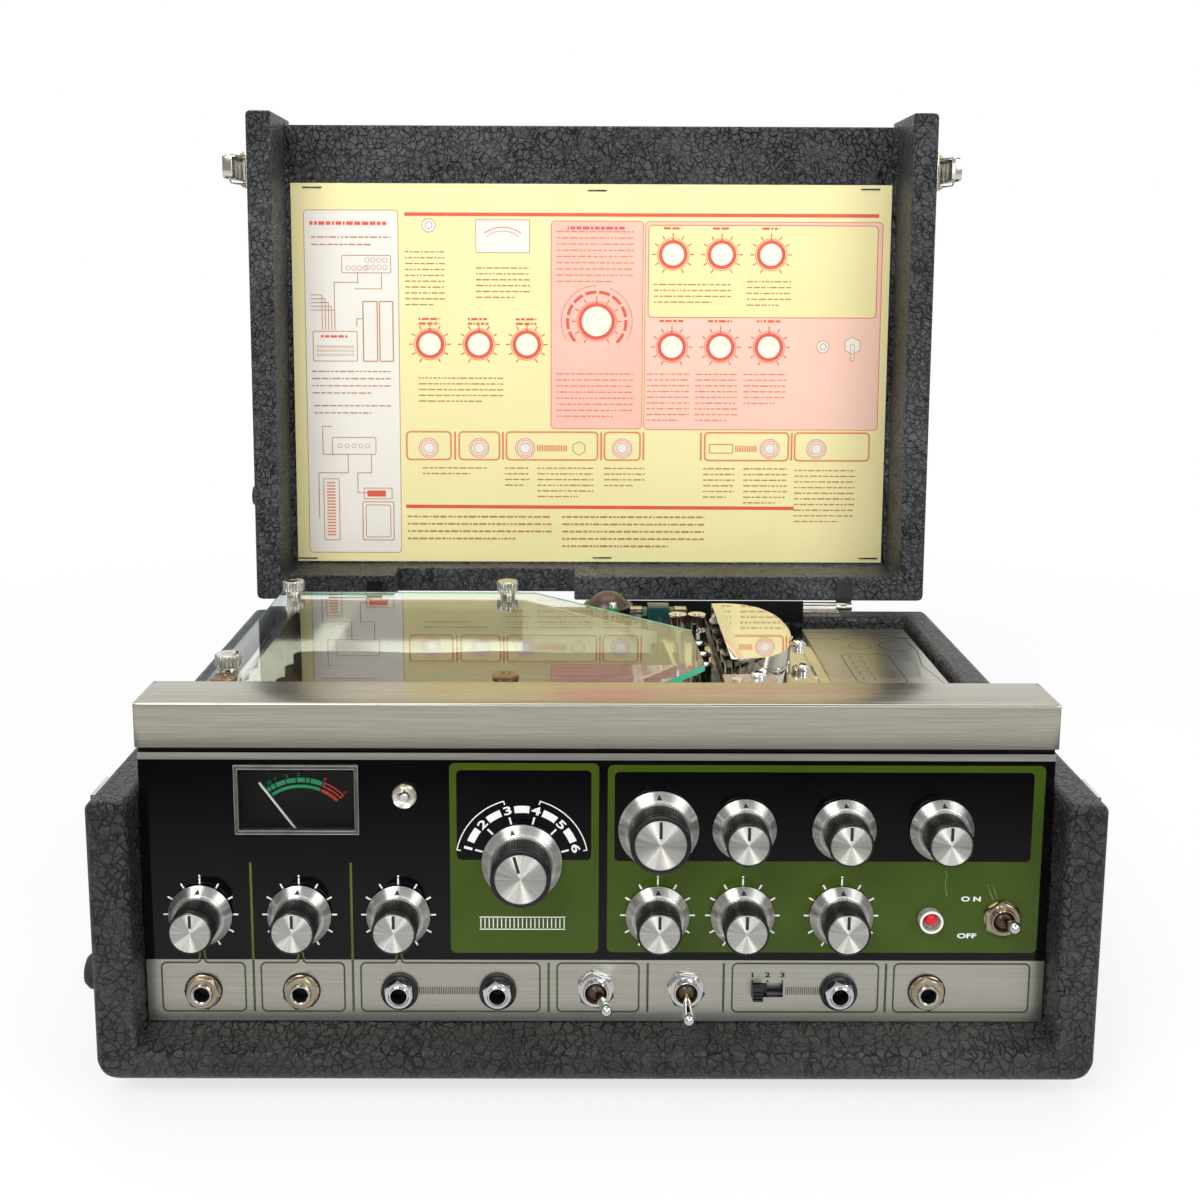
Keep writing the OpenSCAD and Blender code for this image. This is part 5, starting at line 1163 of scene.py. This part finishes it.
for x, y in ((-168, 226), (-47.5, 226.5), (-170, 88)):
    at = move(x, y)
    post(at, DECK_Z)
    nuts.lathe(over_glass((2.6, 0.02), (4.4, 0.02), (4.4, 1.5), (4.9, 2.2), (2.6, 2.3)), "nickel", at, n=40)
    nuts.toothed(NUT_R, FLUTES * 6,
                 [(NUT_Z, -0.5, 0.3), (NUT_Z + 0.5, 0, 1), (NUT_Z + 5.3, 0, 1), (NUT_Z + 5.8, -0.5, 0.3)],
                 lambda k: FLUTE * (0.5 + 0.5 * cos(TAU * k / 6)), "nickel_dull", at, capped=True)
    nuts.lathe(over_glass((5.3, 8.0), (5.1, 8.12), (2.6, 8.12), (2.2, 7.7), (0, 7.7)), "nickel", at)
for x, y, up in ((-168.5, 74, 0), (-41, 79, 2)):
    at = move(x, y)
    post(at, DECK_Z + up)
    nuts.lathe(over_glass((2.6, 0.02), (6.0, 0.02), (6.3, 0.4), (6.2, 1.1), (5.6, 1.6), (2.2, 1.7),
                          (2.0, 1.4), (0, 1.4)), "bronze", at)
nuts.done("thumb_nuts")

# ---------------------------------------------------------------- deck fittings

fit = Shape("fittings", CASE, "case", "fittings")
fit.lathe([(0, -3), (9, -3), (9, 14.6), (13.9, 14.6), (14.4, 14.9), (14.4, 15.3), (14.0, 15.6)]
          + arc(13, range(25, 91, 5), up=10.1), "brown", move(10, 253.5, RIM_Z), n=64)
RELAY = move(38.5, 241.0, RIM_Z)
UNDER = DECK_Z - RIM_Z
fit.block(-5, 5, -4, 4, UNDER, 8, "plastic", RELAY, bevel=0.4)
fit.block(-6.2, 6.2, -5.5, 5.5, 6, 18.6, "teal", RELAY, bevel=0.6)
for side in (-1, 1):
    for x0, x1, half_d, z0, z1, mat, bevel in (
            (6.3, 9.2, 3.5, 12.6, 16.4, "green_bit", 0.3), (9.2, 16.4, 4, 12.2, 14.2, "nickel", 0.3),
            (9.4, 16.2, 3.8, 14.2, 14.8, "dark_steel", 0), (9.2, 16.4, 4, 14.8, 16.8, "nickel", 0.3),
            (9.8, 15.6, 3, UNDER, 12.2, "nickel_dull", 0.3)):
        fit.block(x0, x1, -half_d, half_d, z0, z1, mat, RELAY @ mirrored(side), bevel)
pin = move(12.2, 234.6, RIM_Z)
fit.lathe([(0, -3), (2.2, -3), (2.2, 20.6), (1.9, 21.2), (1.2, 21.4), (0, 21.4)], "chrome", pin, n=32)
fit.lathe([(2.3, 14.4), (2.9, 14.6), (2.9, 18.4), (2.3, 18.6)], "green_bit", pin, n=32)
fit.done("deck_fittings", smooth=40)

# cover over the heads: a polished shell, open towards the tape
shell = Shape("cover", CASE, "case", "deck")
pts = []
for k in range(61):
    a = radians(-90 + 3 * k)
    pts.append((65.8 + 35 * max(0.0, cos(a)) ** 0.62, 158.5 + 50.5 * sin(a)))
n = len(pts)
verts = [(x, y, z) for z in (DECK_Z, GLASS_Z) for x, y in pts]
faces = [(k, k + 1, n + k + 1, n + k) for k in range(n - 1)] + [tuple(range(n, 2 * n))]
made = shell.add(verts, faces, "mirror")
shell.bevel([made[-1]], 0.5, 3)
cover = shell.done("head_cover", weld=True)
mod = cover.modifiers.new("thickness", "SOLIDIFY")
mod.thickness, mod.offset = MM, -1

detail = Shape("transport_detail", CASE, "case", "nickel")


def screw(x, y, z, r, mat="chrome", turn=20):
    """Domed screw head standing up from z, with a cross slot drawn as near-black bars on the dome: painted
    shade for the slot's depth.
    """
    at = move(x, y, z) @ spin(turn, "Z")
    top, long, thin = r * 0.55, r * 0.55, r * 0.11
    detail.lathe([(r, -0.6)] + arc(r, range(0, 91, 15), flat=0.55), mat, at, n=28)
    # the cross slot: two near-black bars, painted shade
    for a, b in ((long, thin), (thin, long)):
        detail.block(-a, a, -b, b, top * 0.55, top + 0.04, "dark", at)


def spring(x, y, z0, z1, r, wire, turns):
    n = turns * 14
    path = []
    for k in range(n + 1):
        a = TAU * turns * k / n
        path.append((x + r * cos(a), y + r * sin(a), z0 + (z1 - z0) * k / n))
    detail.tube(path, wire, "chrome", n=7)


def pillar(x, y, profile, mat, n):
    """Turned piece; heights from the rim of the tub, or None for the top of the deck."""
    detail.lathe([(r, DECK_Z if h is None else RIM_Z + h) for r, h in profile], mat, move(x, y), n=n)


for x, y in ((114, 206), (109, 162), (112.5, 128)):
    spring(x, y, DECK_Z, RIM_Z + 5.6, 2.6, 0.45, 5)
    pillar(x, y, [(0, None), (1.4, None), (1.4, 6)], "nickel", 16)
    pillar(x, y, [(1.4, 5.4), (4.2, 5.4), (4.2, 6.2), (1.4, 6.2)], "chrome", 32)
    screw(x, y, RIM_Z + 6.6, 3.3)
screw(76.5, 92.5, RIM_Z + 24.6, 3.6)
for x, y in ((83, 124), (88, 150), (89, 172), (83, 196)):
    pillar(x, y, [(0, None), (2.0, None), (2.0, 12)], "gloss_black", 24)
for x, y in ((57.5, 150), (58, 168), (57.5, 187)):
    pillar(x, y, [(0, None), (3.0, None), (3.0, 10.6), (4.0, 10.8), (4.0, 11.6), (0, 11.7)], "gloss_black", 32)
    screw(x, y, RIM_Z + 11.7, 3.0)
pillar(54.0, 180, [(0, None), (1.1, None), (1.1, 24.4), (0, 24.6)], "dark_steel", 20)
for x, y in ((-175, 246), (-100, 256), (112, 256), (176, 52)):
    screw(x, y, DECK_Z + 0.5, 2.8, "nickel", turn=x)
detail.done(smooth=40)

plate = Shape("plate_drawing", CASE, "case", "panel_print")


def curve(points, w=0.6):
    plate.stroke(points, w, "ink", DECK_Z + 1.06)


curve(round_box(136, 162, 150, 200, 5))
curve(ring(9, 24, cx=170, cy=215))
curve(ring(6, 24, cx=150, cy=215))
curve(ring(15, 20, 20, 200, 168, 120))
curve([(136, 226), (150, 236), (166, 238), (178, 230), (180, 206), (176, 180), (180, 150), (176, 110),
       (166, 84)])
curve([(132, 140), (144, 132), (158, 134), (166, 146), (178, 140)])
curve([(134, 108), (150, 100), (160, 108), (172, 96)])
for k in range(5):
    curve(round_box(140, 146, 154 + 9 * k, 160 + 9 * k, 1), 0.4)
for k in range(6):
    curve([(132 + 8.5 * k, 72), (136 + 8.5 * k, 72)], 1.1)
    curve([(132 + 8.5 * k, 66), (138 + 8.5 * k, 66)], 0.7)
plate.done()

# ---------------------------------------------------------------- carrying strap

BOW_R, STRAP_T, STRAP_HALF_W, STRAP_HALF_L = 454.5, 4, 11.9, 90
BOW_X, BOW_Y, BOW_Z = SIDE + 11.2 - BOW_R, CASE_D / 2, FOOT_H + 68.88
RINGS, STEPS, STITCHES = 28, 60, 58
HALF_TURN = asin(STRAP_HALF_L / BOW_R)
SEAM = HALF_TURN * 0.93
STITCH, STITCH_R, STITCH_W = 0.0042, BOW_R + 3.86, 9.6

cross = []
for k in range(RINGS):
    c, s = cos(TAU * k / RINGS), sin(TAU * k / RINGS)
    cross.append((1.95 * copysign(abs(c) ** 0.55, c), STRAP_HALF_W * copysign(abs(s) ** 0.3, s)))
verts = []
for i in range(STEPS + 1):
    a = -HALF_TURN + 2 * HALF_TURN * i / STEPS
    from_end = min(i, STEPS - i)
    edge = min(1, (from_end + 0.6) / 3)
    pad = 0.82 + 0.18 * min(1, from_end / 10)
    for t, w in cross:
        r = BOW_R + STRAP_T / 2 + t * pad * edge
        verts.append((BOW_X + r * cos(a), BOW_Y + r * sin(a), BOW_Z + w * (0.985 if edge == 1 else 0.97)))
strap = Shape("strap_pad", CASE, "case", "strap")
strap.add(verts, walls(STEPS + 1, RINGS) + ends(STEPS + 1, RINGS), "strap")
for i in range(1, STITCHES):
    a = -SEAM + 2 * SEAM * (i - 0.5) / STITCHES
    for s in (-1, 1):
        path = [(BOW_X + (STITCH_R + lift) * cos(b), BOW_Y + STITCH_R * sin(b), BOW_Z + s * STITCH_W)
                for lift, b in ((-0.3, a), (0.12, a + STITCH / 2), (-0.3, a + STITCH))]
        strap.tube(path, 0.28, "thread", n=6)
pad = strap.done("strap_handle", smooth=60)

# ---------------------------------------------------------------- hinges, latches, feet and a painted shadow strip

HINGE_X, LATCH_X, LATCH_Y, LATCH_Z = 146, SIDE + 4.9, 34, RIM_Z + 19
hinges = Shape("lid_hinge_set", LID, "lid", "nickel")
for x in (-HINGE_X + 7, HINGE_X + 7):
    hinges.block(x, x + 9.5, CASE_D - 12, HINGE.y, LID_Z - 0.9, LID_Z, "gloss_black")
    hinges.lathe([(1.56, 0), (3.0, 0), (3.2, 0.3), (3.2, 9.2), (3.0, 9.5), (1.56, 9.5), (1.56, 0)], "nickel",
                 move(x, HINGE.y, HINGE.z) @ spin(90, "Y"), n=32)
for side in (-1, 1):
    at = mirrored(side)
    hinges.block(SIDE, SIDE + 1.4, LATCH_Y - 11, LATCH_Y + 11, LID_Z + 3, LATCH_Z + 8, "nickel", at, bevel=0.3)
    for y in (LATCH_Y - 10, LATCH_Y + 8):
        hinges.block(SIDE + 1, LATCH_X + 1.8, y, y + 2, LATCH_Z - 3, LATCH_Z + 3, "brass", at, bevel=0.4)
    hinges.lathe([(0, 0), (1.2, 0), (1.2, 22), (0, 22)], "nickel",
                 at @ move(LATCH_X, LATCH_Y - 11, LATCH_Z) @ spin(-90, "X"), n=20)
hinges.done("lid_hinges")

half_wire = [(1.5, 8.4, 0), (3.6, 8.4, -4), (4.2, 8.2, -12), (3.6, 6.5, -15)]
wire = [(x, -y, z) for x, y, z in half_wire] + [(3.4, 0, -16)] + half_wire[::-1]
for side, name in ((-1, "latch_left"), (1, "latch_right")):
    place = LID @ move(side * LATCH_X, LATCH_Y, LATCH_Z) @ spin(-8 * side, "Y")
    at = mirrored(side)
    latch = Shape(name + "_dressed", place, name + "_lever", "nickel")
    latch.block(0.8, 2.2, -7, 7, -28.5, 1.5, "nickel", at, bevel=0.5)
    for y in (-7, 6):
        latch.block(-2.2, 2.0, y, y + 1, -20, 1.5, "nickel_dull", at, bevel=0.3)
    latch.block(-4.2, 2.0, -6, 6, -30.2, -28.6, "nickel", at, bevel=0.4)
    latch.lathe([(1.3, -7), (2.4, -7), (2.4, 7), (1.3, 7)], "nickel_dull", at @ spin(-90, "X"), n=28)
    latch.tube(wire, 0.6, "chrome", at)
    latch.done(name, smooth=40)


def foot(shape, place, r, h, flat):
    """Rubber foot; flat is the share of its radius that touches the ground."""
    shape.lathe([(r, 0), (r, h * 0.3), (r * 0.95, h * 0.62), (r * (0.6 + 0.35 * flat), h * 0.9),
                 (r * flat, h), (0, h)], "rubber", place)


SIDE_FOOT = (8, 7.5, 0.35)
feet = Shape("feet", CASE)
for x in (-178.5, 178.5):
    for y in (25, 269):
        foot(feet, move(x, y, FOOT_H) @ spin(180, "X"), 9, FOOT_H, 0.8)
for y in (16, 269):
    foot(feet, move(-SIDE, y, FOOT_H + 43) @ spin(-90, "Y"), *SIDE_FOOT)
feet.done("rubber_feet", smooth=50)
lid_foot = Shape("lid_foot", LID, "lid")
foot(lid_foot, move(-SIDE, CASE_D - 61, LID_Z + LID_H / 2) @ spin(-90, "Y"), *SIDE_FOOT)
lid_foot.done("lid_feet", smooth=50)

# a near-black strip along the inside of the tub's rear wall, right of the notch, standing above the rim:
# painted shadow of the rear rim in shade under the open lid
painted_shadow_strip = Shape("dust_seal", CASE)
painted_shadow_strip.block(-3, 129, CASE_D - WALL - 1.4, CASE_D - WALL, RIM_Z - 2.5, RIM_Z + 10.4, "flap", bevel=0.4)
painted_shadow_strip.done(smooth=40)

# ---------------------------------------------------------------- floor, light and camera

floor_mesh = bpy.data.meshes.new("floor")
floor_mesh.from_pydata([(-6, -4, 0), (6, -4, 0), (6, 12, 0), (-6, 12, 0)], [], [(0, 1, 2, 3)])
floor = bpy.data.objects.new("floor", floor_mesh)
bpy.context.scene.collection.objects.link(floor)
floor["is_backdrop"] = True


def seen_white(tree, output_node, shader, to_camera, in_mirrors):
    """The camera, and glass, see white light mixed in; mirrors see white light of the strength given."""
    path = new_node(tree, "LightPath").outputs
    direct = calc(tree, "MAXIMUM", path["Is Camera Ray"], path["Is Transmission Ray"])
    for share, strength in ((path["Is Glossy Ray"], in_mirrors), (times(tree, direct, to_camera), None)):
        glow = new_node(tree, "Emission", Color=(1, 1, 1, 1))
        if strength is not None:
            link(tree, strength, glow.inputs["Strength"])
        mix = new_node(tree, "MixShader")
        for source, target in zip((share, shader, glow.outputs[0]), mix.inputs):
            link(tree, source, target)
        shader = mix.outputs[0]
    link(tree, shader, output_node.inputs["Surface"])


floor_mat, tree, shader = nodes_of("floor")
spot = coords(tree)
pale = tint(tree, noise(tree, spot, 3, 2), (0.86, 0.86, 0.86), (0.88, 0.88, 0.88))
link(tree, pale, shader.inputs["Base Color"])
shader.inputs["Roughness"].default_value = 0.9
away = new_node(tree, "VectorMath", spot, operation="LENGTH").outputs["Value"]
depth = new_node(tree, "SeparateXYZ", spot).outputs[1]
seen_white(tree, tree.nodes["Material Output"], shader.outputs[0], spread(tree, away, 0.72, 1.0, 0.3, 0.95),
           calc(tree, "MAXIMUM", spread(tree, depth, 0.05, 0.62, FRONT - 0.33, FRONT - 0.12),
                spread(tree, depth, 0.9, 0.05, FRONT - 0.47, FRONT - 0.36)))
floor_mesh.materials.append(floor_mat)

world = bpy.data.worlds.new("studio")
bpy.context.scene.world = world
world.use_nodes = True
tree = world.node_tree
back = tree.nodes["Background"]
back.inputs["Color"].default_value = (0.93, 0.96, 1.0, 1)
back.inputs["Strength"].default_value = 0.55
depth = new_node(tree, "SeparateXYZ", coords(tree, kind="Generated")).outputs[1]
seen_white(tree, tree.nodes["World Output"], back.outputs[0], 1.0, spread(tree, depth, 0.3, 1.0, -0.3, 0.3))

for name, place, aim, size, power, color in (
        ("key", (-0.9, -1.5, 1.7), (0, 0, 0.15), (1.2, 1.0), 27, (1.0, 0.98, 0.95)),
        ("fill", (1.4, -1.2, 1.1), (0, 0, 0.15), (1.0, 1.0), 12, (0.95, 0.98, 1.0)),
        ("low", (0.3, -2.3, 0.7), (0, 0, 0.25), (1.6, 0.9), 9, (1, 1, 1)),
        ("top", (0, 0.4, 1.9), (0, 0, 0.1), (1.6, 1.2), 13, (1, 1, 1))):
    light = bpy.data.lights.new(name, "AREA")
    light.shape, light.energy, light.color = "RECTANGLE", power, color
    light.size, light.size_y = size
    lamp = bpy.data.objects.new(name, light)
    lamp.location = place
    lamp.rotation_euler = (Vector(aim) - Vector(place)).to_track_quat("-Z", "Y").to_euler()
    bpy.context.scene.collection.objects.link(lamp)

# Camera, fitted to the photograph: pitched down, with the frame's centre off the lens axis
FOCAL_PX, CENTRE_PX, IMAGE_PX = 1357.56, (581.41, 442.71), 1200
PITCH, YAW, ROLL = 0.1448, 0.0039, 0.0040
EYE = Vector((-9.11, -520.07, 354.72))
cam_data = bpy.data.cameras.new("camera")
cam_data.sensor_width = 36
cam_data.lens = FOCAL_PX / IMAGE_PX * cam_data.sensor_width
cam_data.shift_x = (IMAGE_PX / 2 - CENTRE_PX[0]) / IMAGE_PX
cam_data.shift_y = (CENTRE_PX[1] - IMAGE_PX / 2) / IMAGE_PX
camera = bpy.data.objects.new("camera", cam_data)
forward = Vector((sin(YAW) * cos(PITCH), cos(YAW) * cos(PITCH), -sin(PITCH)))
right = Vector((cos(YAW), -sin(YAW), 0))
up = right.cross(forward)
right, up = right * cos(ROLL) + up * sin(ROLL), up * cos(ROLL) - right * sin(ROLL)
turn = Matrix((right, up, -forward)).transposed().to_4x4()
camera.matrix_world = Matrix.Translation(CASE @ EYE) @ turn
bpy.context.scene.collection.objects.link(camera)
bpy.context.scene.camera = camera
bpy.context.scene.view_settings.view_transform = "Standard"

size = {"cad": [list(c) for c in cad_bounds], "visual": [list(c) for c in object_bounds()]}
